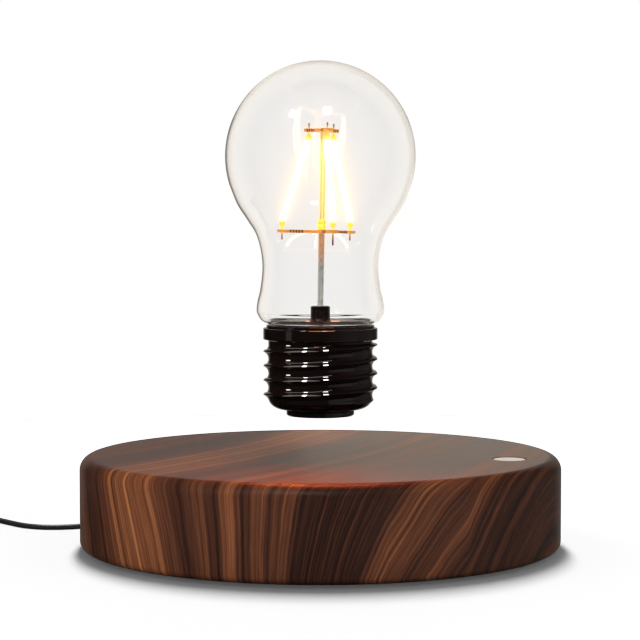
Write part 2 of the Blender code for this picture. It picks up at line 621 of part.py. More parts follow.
def make_levitation_module():
    """The ring magnet, the four electromagnets inside it, the position sensor and the power coil over them."""
    magnet = ring(MAGNET_OUTER, MAGNET_INNER, MODULE_BOTTOM, MODULE_TOP, MAGNET_EDGE)
    add("ring_magnet", turned("ring_magnet", magnet, FACE_COUNT), FERRITE)
    core = turned("core", disc(CORE_RADIUS, MODULE_BOTTOM, MODULE_TOP), FACE_COUNT_TINY)
    winding_low = MODULE_BOTTOM + WINDING_INSET
    winding_high = MODULE_TOP - WINDING_INSET
    winding_outline = ring(WINDING_RADIUS, CORE_RADIUS + GAP, winding_low, winding_high, MAGNET_EDGE)
    winding = turned("winding", winding_outline, FACE_COUNT_SMALL)
    for index, at in enumerate(evenly(CORE_COUNT, CORE_CIRCLE, CORE_ANGLE)):
        add(f"core_{index + 1}", core, STEEL, place=Matrix.Translation(at))
        add(f"winding_{index + 1}", winding, COPPER, place=Matrix.Translation(at))
    side = HALL_BOARD_SIDE
    middle = MODULE_BOTTOM + HALL_BOARD_THICKNESS / 2
    sensor_board = add(
        "hall_sensor_board",
        block("hall_sensor_board", (side, side, HALL_BOARD_THICKNESS), (0, 0, middle)),
        BOARD_GREEN,
    )
    sensor_low = MODULE_BOTTOM + HALL_BOARD_THICKNESS / 2
    sensor_high = MODULE_BOTTOM + HALL_BOARD_THICKNESS + HALL_SENSOR_HEIGHT
    sensor = block(
        "sensor",
        (HALL_SENSOR_SIDE, HALL_SENSOR_SIDE, sensor_high - sensor_low),
        (0, 0, (sensor_high + sensor_low) / 2),
    )
    shaped(sensor_board, [(sensor, Matrix())], "UNION")
    low = MODULE_TOP + GAP
    coil = ring(TRANSMIT_OUTER, TRANSMIT_INNER, low, low + TRANSMIT_THICKNESS)
    add("transmit_coil", turned("transmit_coil", coil, FACE_COUNT), COPPER)


def make_touch_switch():
    """The metal disc let into the top, on a stem through the roof, and the wire from the stem to the board."""
    top = WOOD_TOP - TOUCH_RECESS
    under = top - TOUCH_THICKNESS
    stem_end = CAVITY_TOP - TOUCH_STEM_REACH
    outline = [
        (0, top),
        (TOUCH_RADIUS - TOUCH_EDGE, top),
        (TOUCH_RADIUS, top - TOUCH_EDGE),
        (TOUCH_RADIUS, under),
        (TOUCH_STEM_RADIUS, under),
        (TOUCH_STEM_RADIUS, stem_end),
        (0, stem_end),
    ]
    at = polar(TOUCH_CIRCLE, TOUCH_ANGLE)
    add("touch_disc", turned("touch_disc", outline, FACE_COUNT), SATIN_STEEL, place=Matrix.Translation(at))
    start = Vector((at.x, at.y, stem_end - GAP))
    drop = start.z - BOARD_TOP - GAP
    inwards = -at.normalized() * (at.length - BOARD_RADIUS + 4 * TOUCH_LEAD_RADIUS)
    route = [start + inwards * share - Vector((0, 0, drop * fall)) for share, fall in TOUCH_LEAD_SHARES]
    add_tube("touch_lead", route, TOUCH_LEAD_RADIUS, CORD_BLACK)


def add_tube(name, route, radius, material, resolution=2, parent=None):
    """A round tube with closed ends along a list of points."""
    data = bpy.data.curves.new(name, "CURVE")
    data.dimensions = "3D"
    data.bevel_depth = radius
    data.bevel_resolution = resolution
    data.use_fill_caps = True
    line = data.splines.new("POLY")
    line.points.add(len(route) - 1)
    for point, place in zip(line.points, route):
        point.co = (*place, 1)
    data.materials.append(material)
    thing = bpy.data.objects.new(name, data)
    bpy.context.scene.collection.objects.link(thing)
    thing.parent = parent
    return thing


def smooth_way(route, step):
    """Points about a step apart on a smooth curve through the route's points."""
    points = [Vector(place) for place in route]
    ends = [points[0] * 2 - points[1], *points, points[-1] * 2 - points[-2]]
    way = []
    for before, start, end, after in zip(ends, ends[1:], ends[2:], ends[3:]):
        count = max(1, round((end - start).length / step))
        for index in range(count):
            t = index / count
            way.append(
                0.5
                * (
                    2 * start
                    + (end - before) * t
                    + (2 * before - 5 * start + 4 * end - after) * t**2
                    + (3 * start - before - 3 * end + after) * t**3
                )
            )
    return way + [points[-1]]


def way_length(way):
    """The length of a line of points."""
    return sum((b - a).length for a, b in zip(way, way[1:]))


def make_power_socket():
    """The power socket on the board behind the wall: a moulded block with a bore and a centre pin."""
    face = CAVITY_RADIUS - GAP
    size = (JACK_DEPTH, JACK_WIDTH, JACK_HEIGHT)
    place = facing(JACK_ANGLE)
    body = block("dc_jack", size, (face - JACK_DEPTH / 2, 0, JACK_Z), JACK_EDGE)
    jack = add("dc_jack", body, BLACK_PLASTIC, place=place)
    pin_end = face - JACK_BORE_DEPTH + JACK_PIN_LENGTH
    bore_outline = [
        (0, face + OVERRUN),
        (JACK_BORE_RADIUS, face + OVERRUN),
        (JACK_BORE_RADIUS, face - JACK_BORE_DEPTH),
        (JACK_PIN_RADIUS, face - JACK_BORE_DEPTH),
        (JACK_PIN_RADIUS, pin_end),
        (0, pin_end),
    ]
    bore = turned("jack_bore", bore_outline, FACE_COUNT_SMALL)
    shaped(jack, [(bore, place @ lying_along_x((0, 0, JACK_Z)))], "DIFFERENCE")


def make_plug():
    """The angled plug: a barrel and a neck through the wall, a rounded body outside, and a tapered relief."""
    inner = CAVITY_RADIUS
    body_low = WOOD_RADIUS + PLUG_STANDOFF
    body_middle = body_low + PLUG_DEPTH / 2
    place = facing(JACK_ANGLE)
    body = block("dc_plug", (PLUG_DEPTH, PLUG_WIDTH, PLUG_HEIGHT), (body_middle, 0, JACK_Z), PLUG_EDGE)
    plug = add("dc_plug", body, BLACK_PLASTIC, place=place)
    along = place @ lying_along_x((0, 0, JACK_Z))
    barrel_end = inner - PLUG_BARREL_LENGTH
    stem = [
        (0, body_low + OVERRUN),
        (PLUG_NECK_RADIUS, body_low + OVERRUN),
        (PLUG_NECK_RADIUS, inner),
        (PLUG_BARREL_RADIUS, inner),
        (PLUG_BARREL_RADIUS, barrel_end),
        (PLUG_BARREL_BORE, barrel_end),
        (PLUG_BARREL_BORE, inner),
        (0, inner),
    ]
    relief_outline = [
        (0, RELIEF_LENGTH),
        (RELIEF_TIP_RADIUS, RELIEF_LENGTH),
        (RELIEF_ROOT_RADIUS, 0),
        (RELIEF_ROOT_RADIUS, -OVERRUN),
        (0, -OVERRUN),
    ]
    relief = turned("plug_relief", relief_outline, FACE_COUNT_TINY)
    relief_place = (
        place
        @ Matrix.Translation((body_middle, PLUG_WIDTH / 2, JACK_Z))
        @ Matrix.Rotation(-math.pi / 2, 4, "X")
    )
    shaped(plug, [(turned("plug_stem", stem, FACE_COUNT_SMALL), along), (relief, relief_place)], "UNION")


def relief_end():
    """Where the lead leaves the plug, and the way it points."""
    place = facing(JACK_ANGLE)
    reach = PLUG_WIDTH / 2 + RELIEF_LENGTH + GAP
    start = place @ Vector((WOOD_RADIUS + PLUG_STANDOFF + PLUG_DEPTH / 2, reach, JACK_Z))
    return start, place.to_3x3() @ Vector((0, 1, 0))


def coil_places():
    """Centre line of the coil: each layer spirals in or out, and the next is climbed to where it reverses."""
    turns = COIL_LAYER_TURN_COUNT
    half_width = COIL_PITCH * (turns - 0.5) / 2
    outer = COIL_MIDDLE_RADIUS + half_width
    inner = COIL_MIDDLE_RADIUS - half_width
    low = TIE_THICKNESS + GAP + CORD_RADIUS
    centre = Vector((COIL_X, COIL_Y, 0))
    total = COIL_LAYER_COUNT * turns - 0.5
    places = []
    for index in range(round(total * COIL_TURN_POINT_COUNT) + 1):
        turn = index / COIL_TURN_POINT_COUNT
        layer = min(int(turn / turns), COIL_LAYER_COUNT - 1)
        along = turn - layer * turns
        # the last half turn of a layer keeps its radius and climbs to the next layer
        drawn = min(along / (turns - 0.5), 1.0)
        radius = outer + (inner - outer) * (drawn if layer % 2 == 0 else 1 - drawn)
        climb = 0.0
        if layer < COIL_LAYER_COUNT - 1:
            climb = max(0.0, (along - (turns - 0.5)) / 0.5)
        z = low + COIL_PITCH * (layer + climb)
        places.append(centre + polar(radius, COIL_START_ANGLE + 360 * turn, z))
    first_way = (places[1] - places[0]).normalized()
    last_way = (places[-1] - places[-2]).normalized()
    straight = 2 * CORD_RADIUS
    first_way.z = 0
    last_way.z = 0
    return [places[0] - first_way * straight, *places, places[-1] + last_way * straight]


def least_gap(places):
    """The least distance between the tube's own turns, less its diameter."""
    points = np.array([tuple(place) for place in places])
    step = np.linalg.norm(np.diff(points, axis=0), axis=1)
    along = np.concatenate([[0], np.cumsum(step)])
    apart = np.linalg.norm(points[:, None] - points[None], axis=2)
    neighbours = np.abs(along[:, None] - along[None]) < math.pi * COIL_MIDDLE_RADIUS / 2
    apart[neighbours] = np.inf
    return float(apart.min()) - 2 * CORD_RADIUS


def make_lead():
    """The lead's two free stretches and the coil between them, with the tie that holds the coil's turns."""
    coil = coil_places()
    start, way = relief_end()
    into_coil = (coil[1] - coil[0]).normalized()
    end = coil[0] - into_coil * GAP
    straight = 4 * CORD_RADIUS
    run = smooth_way([start, start + way * straight, *CORD_ROUTE, end - into_coil * straight, end], CORD_STEP)
    add_tube("cord_run", run, CORD_RADIUS, CORD_BLACK)
    add_tube("cord_coil", coil, CORD_RADIUS, CORD_BLACK, resolution=1)
    out_of_coil = (coil[-1] - coil[-2]).normalized()
    tail_start = coil[-1] + out_of_coil * GAP
    relief = adapter_relief_tip() - Vector((0, GAP, 0))
    back = Vector((0, straight, 0))
    off_coil = tail_start + out_of_coil * straight
    tail = smooth_way([tail_start, off_coil, *TAIL_ROUTE, relief - back, relief], CORD_STEP)
    add_tube("cord_tail", tail, CORD_RADIUS, CORD_BLACK)
    print("least gap between the coil's turns, mm:", round(least_gap(coil) / MM, 3))
    lengths = [way_length(part) for part in (run, coil, tail)]
    print("lead lengths, mm:", [round(length / MM, 1) for length in lengths], round(sum(lengths) / MM, 1))


def make_coil_tie():
    """A flat tie round the bundle of turns at the coil's back."""
    half_width = COIL_PITCH * (COIL_LAYER_TURN_COUNT - 0.5) / 2 + CORD_RADIUS + GAP
    room_high = COIL_PITCH * (COIL_LAYER_COUNT - 1) + 2 * CORD_RADIUS + 2 * GAP
    wall = TIE_THICKNESS
    middle = (COIL_MIDDLE_RADIUS, 0, wall + room_high / 2)
    size = (2 * (half_width + wall), TIE_WIDTH, room_high + 2 * wall)
    place = facing(90, (COIL_X, COIL_Y, 0))
    tie = add("coil_tie", block("coil_tie", size, middle), BLACK_PLASTIC, place=place)
    opening = block("tie_opening", (2 * half_width, TIE_WIDTH + 2 * OVERRUN, room_high), middle)
    shaped(tie, [(opening, place)], "DIFFERENCE")


def adapter_relief_tip():
    """The end of the adapter's relief, where the lead comes in."""
    return Vector((ADAPTER_X - ADAPTER_RELIEF_INSET, ADAPTER_Y - ADAPTER_RELIEF_LENGTH, ADAPTER_RELIEF_HEIGHT))


def make_adapter():
    """The wall adapter on its side: a case with the lead's relief, a cover plate and two flat blades."""
    middle_y = ADAPTER_Y + ADAPTER_LENGTH / 2
    case = add(
        "adapter_case",
        block(
            "adapter_case",
            (ADAPTER_CASE_DEPTH, ADAPTER_LENGTH, ADAPTER_HEIGHT),
            (ADAPTER_X - ADAPTER_CASE_DEPTH / 2, middle_y, ADAPTER_HEIGHT / 2),
            ADAPTER_EDGE,
        ),
        BLACK_PLASTIC,
    )
    relief_outline = [
        (0, ADAPTER_RELIEF_LENGTH + OVERRUN),
        (RELIEF_ROOT_RADIUS, ADAPTER_RELIEF_LENGTH + OVERRUN),
        (RELIEF_ROOT_RADIUS, ADAPTER_RELIEF_LENGTH),
        (RELIEF_TIP_RADIUS, 0),
        (0, 0),
    ]
    relief = turned("adapter_relief", relief_outline, FACE_COUNT_TINY)
    place = Matrix.Translation(adapter_relief_tip()) @ Matrix.Rotation(-math.pi / 2, 4, "X")
    shaped(case, [(relief, place)], "UNION")
    cover_right = ADAPTER_X - ADAPTER_CASE_DEPTH - GAP
    cover_left = cover_right - ADAPTER_COVER_DEPTH
    cover = add(
        "adapter_cover",
        block(
            "adapter_cover",
            (ADAPTER_COVER_DEPTH, ADAPTER_LENGTH, ADAPTER_HEIGHT),
            ((cover_left + cover_right) / 2, middle_y, ADAPTER_HEIGHT / 2),
            ADAPTER_COVER_DEPTH / 4,
        ),
        BLACK_PLASTIC,
    )
    blade_left = cover_left - BLADE_LENGTH
    blade_right = cover_left + BLADE_SINK
    slots = []
    for index, side in enumerate((-1, 1)):
        at = ((blade_left + blade_right) / 2, middle_y + side * BLADE_SPACING / 2, ADAPTER_HEIGHT / 2)
        size = (blade_right - blade_left, BLADE_THICKNESS, BLADE_WIDTH)
        blade = block("adapter_blade", size, at, BLADE_EDGE)
        add(f"adapter_blade_{index + 1}", blade, NICKEL)
        slots.append((block("blade_slot", [length + 2 * GAP for length in size], at), Matrix()))
    shaped(cover, slots, "DIFFERENCE")


def thread_height(u):
    """The thread's height as a share of its depth, u in pitches from a crest: round hollows, sharp crests."""
    away = np.abs(u - np.round(u))
    depth = (THREAD_CREST - THREAD_ROOT) / THREAD_PITCH
    hollow = (0.25 + depth**2) / (2 * depth)
    across = 0.5 - away
    return (hollow - np.sqrt(hollow**2 - across**2)) / depth


def eased(x):
    """A smooth step from 0 to 1."""
    x = np.clip(x, 0, 1)
    return x * x * (3 - 2 * x)


def make_screw_shell(parent):
    """The glossy body: one right-handed thread on a tube that rounds in to a floor with a hole for the cap."""
    columns = SHELL_COLUMN_COUNT
    around = 2 * np.pi * np.arange(columns) / columns
    low = SHELL_BOTTOM + DOME_HEIGHT / 2
    high = SHELL_TOP - THREAD_RUNOUT / 4
    crest_zero = SHELL_BOTTOM + THREAD_CREST_HEIGHT - THREAD_PITCH / 2
    first = math.floor((low - crest_zero) / THREAD_PITCH) - 1
    last = math.ceil((high - crest_zero) / THREAD_PITCH)
    phases = np.arange(last * SHELL_ROW_COUNT, first * SHELL_ROW_COUNT - 1, -1) / SHELL_ROW_COUNT
    z = crest_zero + THREAD_PITCH * (phases[:, None] + around[None] / (2 * np.pi))
    z = np.clip(z, low, high)
    fade = eased((z - low) / THREAD_RUNOUT) * eased((high - z) / (THREAD_RUNOUT / 2))
    into_dome = np.clip(1 - (z - SHELL_BOTTOM) / DOME_HEIGHT, 0, 1)
    root = DOME_FOOT_RADIUS + (THREAD_ROOT - DOME_FOOT_RADIUS) * np.sqrt(1 - into_dome**2)
    radius = root + (THREAD_CREST - THREAD_ROOT) * thread_height(phases)[:, None] * fade
    dome = arc(
        (DOME_FOOT_RADIUS, SHELL_BOTTOM + DOME_HEIGHT),
        (THREAD_ROOT - DOME_FOOT_RADIUS, DOME_HEIGHT),
        -math.degrees(math.asin(0.5)),
        -90,
        4,
    )
    hole_radius = CAP_SPIGOT_RADIUS + GAP
    floor_top = SHELL_BOTTOM + SHELL_FLOOR
    above = [(SHELL_BORE, floor_top), (SHELL_BORE, SHELL_TOP), (THREAD_ROOT, SHELL_TOP)]
    below = dome[1:] + [(hole_radius, SHELL_BOTTOM), (hole_radius, floor_top)]
    whole_ring = np.ones(columns)
    radius = np.vstack([np.outer([r for r, _ in above], whole_ring), radius])
    radius = np.vstack([radius, np.outer([r for r, _ in below], whole_ring)])
    z = np.vstack([np.outer([h for _, h in above], whole_ring), z, np.outer([h for _, h in below], whole_ring)])
    bm = bmesh.new()
    rows = [
        [bm.verts.new((r * math.cos(a), r * math.sin(a), h)) for r, a, h in zip(row, around, heights)]
        for row, heights in zip(radius, z)
    ]
    for row, under in zip(rows, rows[1:] + rows[:1]):
        for column in range(columns):
            after = (column + 1) % columns
            if after:
                bm.faces.new((row[column], row[after], under[after], under[column]))
    # after a full turn each row of the thread has climbed a pitch, and meets the row that began there
    first_row = len(above)
    last_row = first_row + len(phases) - 1
    meets = [
        max(index - SHELL_ROW_COUNT, first_row) if first_row <= index <= last_row else index
        for index in range(len(rows))
    ]
    for index in range(len(rows)):
        under = (index + 1) % len(rows)
        corners = [rows[index][-1], rows[meets[index]][0], rows[meets[under]][0], rows[under][-1]]
        bm.faces.new(list(dict.fromkeys(corners)))
    bmesh.ops.remove_doubles(bm, verts=bm.verts, dist=MERGE)
    bmesh.ops.dissolve_degenerate(bm, dist=MERGE, edges=bm.edges)
    return add("screw_shell", closed_mesh("screw_shell", bm), GLOSS_BLACK, parent)


def make_cap_and_collar(parent):
    """The disc under the body, the flanged collar on it, and the disc and boss in the glass's mouth."""
    cap_top = BULB_BOTTOM + CAP_HEIGHT
    cap = [
        (0, cap_top + CAP_SPIGOT_HEIGHT),
        (CAP_SPIGOT_RADIUS, cap_top + CAP_SPIGOT_HEIGHT),
        (CAP_SPIGOT_RADIUS, cap_top),
        (CAP_RADIUS, cap_top),
        (CAP_RADIUS, BULB_BOTTOM + CAP_EDGE),
        (CAP_RADIUS - CAP_EDGE, BULB_BOTTOM),
        (0, BULB_BOTTOM),
    ]
    add("bottom_cap", turned("bottom_cap", cap), GLOSS_BLACK, parent)
    spigot = SHELL_BORE - GAP
    collar = [
        (GLASS_MOUTH_RADIUS + GAP, LEDGE),
        (GLASS_MOUTH_RADIUS + GAP, COLLAR_TOP + COLLAR_LIP_HEIGHT),
        (COLLAR_LIP_RADIUS, COLLAR_TOP + COLLAR_LIP_HEIGHT),
        (COLLAR_LIP_RADIUS, COLLAR_TOP),
        (COLLAR_RADIUS - COLLAR_EDGE, COLLAR_TOP),
        (COLLAR_RADIUS, COLLAR_TOP - COLLAR_EDGE),
        (COLLAR_RADIUS, COLLAR_BOTTOM + COLLAR_EDGE),
        (COLLAR_RADIUS - COLLAR_EDGE, COLLAR_BOTTOM),
        (spigot, COLLAR_BOTTOM),
        (spigot, COLLAR_BOTTOM - COLLAR_SPIGOT_HEIGHT),
        (COLLAR_BORE, COLLAR_BOTTOM - COLLAR_SPIGOT_HEIGHT),
        (COLLAR_BORE, LEDGE),
    ]
    add("collar", turned("collar", collar), GLOSS_BLACK, parent)
    seat_radius = GLASS_MOUTH_RADIUS - GLASS_WALL - GAP
    rod_bore = ROD_RADIUS + ROD_PLAY
    seat = ring(seat_radius, rod_bore, GLASS_BOTTOM, SEAT_TOP, BOSS_EDGE)
    add("seat_disc", turned("seat_disc", seat), GLOSS_BLACK, parent)
    boss = [
        (rod_bore, BOSS_TOP),
        (BOSS_RADIUS - BOSS_EDGE, BOSS_TOP),
        (BOSS_RADIUS, BOSS_TOP - BOSS_EDGE),
        (BOSS_RADIUS, BOSS_BOTTOM + BOSS_FOOT_HEIGHT),
        (BOSS_FOOT_RADIUS, BOSS_BOTTOM),
        (rod_bore, BOSS_BOTTOM),
    ]
    add("stem_boss", turned("stem_boss", boss, FACE_COUNT_SMALL), BLACK_PLASTIC, parent)


def glass_outline():
    """The outside of the glass from the top to the mouth: an arc, then the places on its side."""
    top = GLASS_BOTTOM + GLASS_HEIGHT
    centre_z = top - GLASS_HEAD_RADIUS
    end = 90 - 180 * HEAD_ARC_SHARE
    head = arc((0, centre_z), (GLASS_HEAD_RADIUS,) * 2, 90, end, HEAD_STEP_COUNT)
    head[0] = (0, top)

    def between(low, high, shares):
        return [(low + (high - low) * r, GLASS_BOTTOM + GLASS_HEIGHT * h) for r, h in shares]

    places = [head[-2], head[-1]]
    places += between(GLASS_WAIST_RADIUS, GLASS_HEAD_RADIUS, GLASS_SHOULDER_SHARES)
    places += [(GLASS_WAIST_RADIUS, GLASS_BOTTOM + GLASS_HEIGHT * GLASS_WAIST_HEIGHT_SHARE)]
    places += between(GLASS_WAIST_RADIUS, GLASS_SWELL_RADIUS, GLASS_SWELL_SHARES)
    places += [(GLASS_SWELL_RADIUS, GLASS_BOTTOM + GLASS_HEIGHT * GLASS_SWELL_HEIGHT_SHARE)]
    places += between(GLASS_MOUTH_RADIUS, GLASS_SWELL_RADIUS, GLASS_UNDER_SHARES)
    places += [(GLASS_MOUTH_RADIUS, GLASS_BOTTOM)]
    return head + places[2:]


def inside_of(outline, wall):
    """An outline moved inwards by the wall's thickness."""
    moved = []
    for before, here, after in zip([outline[0], *outline], outline, [*outline[1:], outline[-1]]):
        way = Vector((after[0] - before[0], after[1] - before[1])).normalized()
        inwards = Vector((way.y, -way.x))
        moved.append((max(0.0, here[0] + inwards.x * wall), here[1] + inwards.y * wall))
    moved[0] = (0, outline[0][1] - wall)
    moved[-1] = (outline[-1][0] - wall, outline[-1][1])
    return moved


def make_glass(parent):
    """The blown glass, open at its mouth, with an even wall."""
    outside = glass_outline()
    inside = inside_of(outside, GLASS_WALL)
    add("glass_bulb", turned("glass_bulb", outside + inside[::-1]), GLASS, parent)


def frame_place():
    """The wire frame's own place: its Z runs up the rod from the boss's top, leaning a little."""
    return Matrix.Translation((0, 0, BOSS_TOP)) @ Matrix.Rotation(math.radians(FRAME_LEAN), 4, "Y")


def star(reach, width):
    """Outline of a three-armed plate with its arms at the filaments' angles."""
    half = width / 2
    corners = []
    for angle in sorted(FILAMENT_ANGLES):
        turn = Matrix.Rotation(math.radians(angle), 2)
        inner = turn @ Matrix.Rotation(math.radians(-60), 2) @ Vector((2 * half / math.sqrt(3), 0))
        corners += [inner, turn @ Vector((reach, -half)), turn @ Vector((reach, half))]
    return corners


def make_plate(name, height, reach, foot_circle, parent):
    """A three-armed plate with a hole for the rod and one for each filament's pin."""
    low = height - PLATE_THICKNESS / 2
    high = height + PLATE_THICKNESS / 2
    place = frame_place()
    piece = add(name, plate(name, star(reach, PLATE_ARM_WIDTH), low, high), BRASS, parent, place)
    hub = turned("hub", disc(PLATE_ARM_WIDTH, low, high), FACE_COUNT_SMALL)
    shaped(piece, [(hub, place)], "UNION")
    cuts = [(turned("rod_hole", disc(ROD_RADIUS + GAP, low - OVERRUN, high + OVERRUN), FACE_COUNT_TINY), place)]
    pin_hole = turned("pin_hole", disc(PIN_WIDTH + GAP, low - OVERRUN, high + OVERRUN), 8)
    cuts += [(pin_hole, place @ Matrix.Translation(polar(foot_circle, angle))) for angle in FILAMENT_ANGLES]
    shaped(piece, cuts, "DIFFERENCE")


def tab_outline(pin_reach):
    """Side view of a filament's end: a pin through the plate, which widens to a flat tab."""
    pin = PIN_WIDTH / 2
    wide = TAB_WIDTH / 2
    foot = PLATE_THICKNESS / 2 + GAP
    return [
        (-pin, -PLATE_THICKNESS / 2 - pin_reach),
        (pin, -PLATE_THICKNESS / 2 - pin_reach),
        (pin, foot),
        (wide, foot + TAB_LENGTH / 3),
        (wide, foot + TAB_LENGTH),
        (-wide, foot + TAB_LENGTH),
        (-wide, foot + TAB_LENGTH / 3),
        (-pin, foot),
    ]


def make_tab(name, at, angle, pin_reach, way, parent):
    """One filament end. way is 1 for a tab that stands up from its plate and -1 for one that hangs from it."""
    mesh = plate(name, tab_outline(pin_reach), -TAB_THICKNESS / 2, TAB_THICKNESS / 2)
    stand = Matrix.Rotation(math.radians(90 * way), 4, "X")
    place = frame_place() @ Matrix.Translation(at) @ Matrix.Rotation(math.radians(angle + 90), 4, "Z") @ stand
    add(name, mesh, BRASS, parent, place)


def make_filaments(parent):
    """Three straight filaments in a tripod, each between two tabs."""
    clear = PLATE_THICKNESS / 2 + GAP + TAB_LENGTH + GAP
    for index, angle in enumerate(FILAMENT_ANGLES):
        number = index + 1
        foot = polar(FILAMENT_FOOT_CIRCLE, angle, LOWER_PLATE_HEIGHT)
        head = polar(FILAMENT_HEAD_CIRCLE, angle, UPPER_PLATE_HEIGHT)
        make_tab(f"filament_tab_lower_{number}", foot, angle, LOWER_PIN_REACHES[index], 1, parent)
        make_tab(f"filament_tab_upper_{number}", head, angle, UPPER_PIN_REACH, -1, parent)
        low = foot + Vector((0, 0, clear))
        high = head - Vector((0, 0, clear))
        way = high - low
        lean = Vector((0, 0, 1)).rotation_difference(way).to_matrix().to_4x4()
        slant = way.length / way.z  # a leaning end comes nearer the tab by this much
        trim = FILAMENT_RADIUS * math.sqrt(1 - 1 / slant**2)
        rod = turned(f"filament_{number}", disc(FILAMENT_RADIUS, trim, way.length - trim), FACE_COUNT_TINY)
        add(f"filament_{number}", rod, FILAMENT, parent, frame_place() @ Matrix.Translation(low) @ lean)


def make_wire_frame(parent):
    """The rod from the boss up to the upper plate, its sleeve, and the two plates that hold the filaments."""
    rod_top = UPPER_PLATE_HEIGHT + PLATE_THICKNESS
    place = frame_place()
    rod = turned("centre_rod", disc(ROD_RADIUS, -ROD_SINK, rod_top), FACE_COUNT_SMALL)
    add("centre_rod", rod, NICKEL, parent, place)
    low = LOWER_PLATE_HEIGHT + PLATE_THICKNESS / 2 + GAP
    sleeve_ring = ring(SLEEVE_RADIUS, ROD_RADIUS + GAP, low, low + SLEEVE_LENGTH)
    sleeve = turned("rod_sleeve", sleeve_ring, FACE_COUNT_SMALL)
    add("rod_sleeve", sleeve, BRASS, parent, place)
    make_plate("lower_plate", LOWER_PLATE_HEIGHT, LOWER_PLATE_REACH, FILAMENT_FOOT_CIRCLE, parent)
    make_plate("upper_plate", UPPER_PLATE_HEIGHT, UPPER_PLATE_REACH, FILAMENT_HEAD_CIRCLE, parent)


def make_bulb_inside(parent, magnet_parent):
    """What the screw shell holds, from its floor up: the receiving coil, the magnet and the board."""
    low = SHELL_BOTTOM + SHELL_FLOOR + GAP
    coil = ring(RECEIVER_RADIUS, RECEIVER_INNER, low, low + RECEIVER_THICKNESS)
    add("receiver_coil", turned("receiver_coil", coil), COPPER, parent)
    top = FLOAT_MAGNET_BOTTOM + FLOAT_MAGNET_HEIGHT
    magnet = disc(FLOAT_MAGNET_RADIUS, FLOAT_MAGNET_BOTTOM, top, MAGNET_EDGE)
    add("float_magnet", turned("float_magnet", magnet), NICKEL, magnet_parent)
    board_low = top + GAP
    board_top = board_low + RECEIVER_BOARD_THICKNESS
    board = add(
        "receiver_board",
        turned("receiver_board", disc(RECEIVER_RADIUS, board_low, board_top), FACE_COUNT),
        BOARD_GREEN,
        parent,
    )
    chip_size = (3 * CHIP_HEIGHT, 3 * CHIP_HEIGHT, CHIP_HEIGHT + OVERRUN / 2)
    chip = block("receiver_chip", chip_size, (0, 0, board_top + (CHIP_HEIGHT - OVERRUN / 2) / 2))
    shaped(board, [(chip, Matrix())], "UNION")


def make_axis(name, z, parent=None):
    """An empty on the bulb's axis, which its pieces hang from."""
    empty = bpy.data.objects.new(name, None)
    bpy.context.scene.collection.objects.link(empty)
    empty.parent = parent
    empty.location = (0, 0, z)
    return empty


def build():
    """Clears the scene and makes every piece."""
    for thing in list(bpy.data.objects):
        bpy.data.objects.remove(thing, do_unlink=True)
    lift = make_axis("bulb_lift_axis", 0)
    spin = make_axis("bulb_spin_axis", 0, lift)
    make_wood_body()
    make_bottom_cover()
    make_screws()
    make_feet()
    make_control_board()
    make_module_tray()
    make_levitation_module()
    make_touch_switch()
    make_power_socket()
    make_plug()
    make_lead()
    make_coil_tie()
    make_adapter()
    make_cap_and_collar(spin)
    make_screw_shell(spin)
    make_glass(spin)
    make_wire_frame(spin)
    make_filaments(spin)
    make_bulb_inside(spin, lift)


build()
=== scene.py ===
"""Levitating lamp: a clear filament bulb that floats over a round dark wooden base, with its lead and wall adapter.

Units are metres and +Z is up. The base's axis is the Z axis, the front is -Y, and the touch disc is at the right.
"""
import json
import math

import bmesh
import bpy
import numpy as np
from mathutils import Matrix, Vector

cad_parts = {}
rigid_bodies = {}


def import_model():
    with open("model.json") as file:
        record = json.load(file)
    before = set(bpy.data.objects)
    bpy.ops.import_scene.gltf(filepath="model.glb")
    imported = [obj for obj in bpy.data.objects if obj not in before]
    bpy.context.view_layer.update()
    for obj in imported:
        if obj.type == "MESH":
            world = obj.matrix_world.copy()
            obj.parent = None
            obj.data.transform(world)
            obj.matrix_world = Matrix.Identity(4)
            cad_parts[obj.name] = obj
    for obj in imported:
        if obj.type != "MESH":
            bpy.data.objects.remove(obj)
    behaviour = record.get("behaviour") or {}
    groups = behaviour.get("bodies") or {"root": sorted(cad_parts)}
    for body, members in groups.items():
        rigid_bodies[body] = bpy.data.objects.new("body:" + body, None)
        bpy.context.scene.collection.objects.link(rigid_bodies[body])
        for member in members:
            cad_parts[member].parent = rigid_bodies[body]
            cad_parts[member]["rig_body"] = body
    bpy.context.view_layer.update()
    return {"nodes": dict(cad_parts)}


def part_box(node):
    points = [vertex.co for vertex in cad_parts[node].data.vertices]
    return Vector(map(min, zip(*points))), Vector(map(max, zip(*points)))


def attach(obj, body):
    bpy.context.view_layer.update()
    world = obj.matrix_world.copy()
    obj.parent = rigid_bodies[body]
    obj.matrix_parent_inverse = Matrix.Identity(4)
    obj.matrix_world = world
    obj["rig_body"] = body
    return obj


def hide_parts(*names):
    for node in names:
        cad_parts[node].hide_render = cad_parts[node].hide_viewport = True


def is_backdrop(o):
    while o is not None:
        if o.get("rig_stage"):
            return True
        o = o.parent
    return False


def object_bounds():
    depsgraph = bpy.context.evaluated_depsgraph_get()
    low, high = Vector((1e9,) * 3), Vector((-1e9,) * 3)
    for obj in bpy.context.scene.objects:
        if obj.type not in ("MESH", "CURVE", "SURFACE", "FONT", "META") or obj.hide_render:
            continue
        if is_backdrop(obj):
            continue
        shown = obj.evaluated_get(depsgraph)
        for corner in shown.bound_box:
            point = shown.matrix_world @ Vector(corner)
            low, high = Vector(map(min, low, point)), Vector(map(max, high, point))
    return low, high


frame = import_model()
MM = 0.001

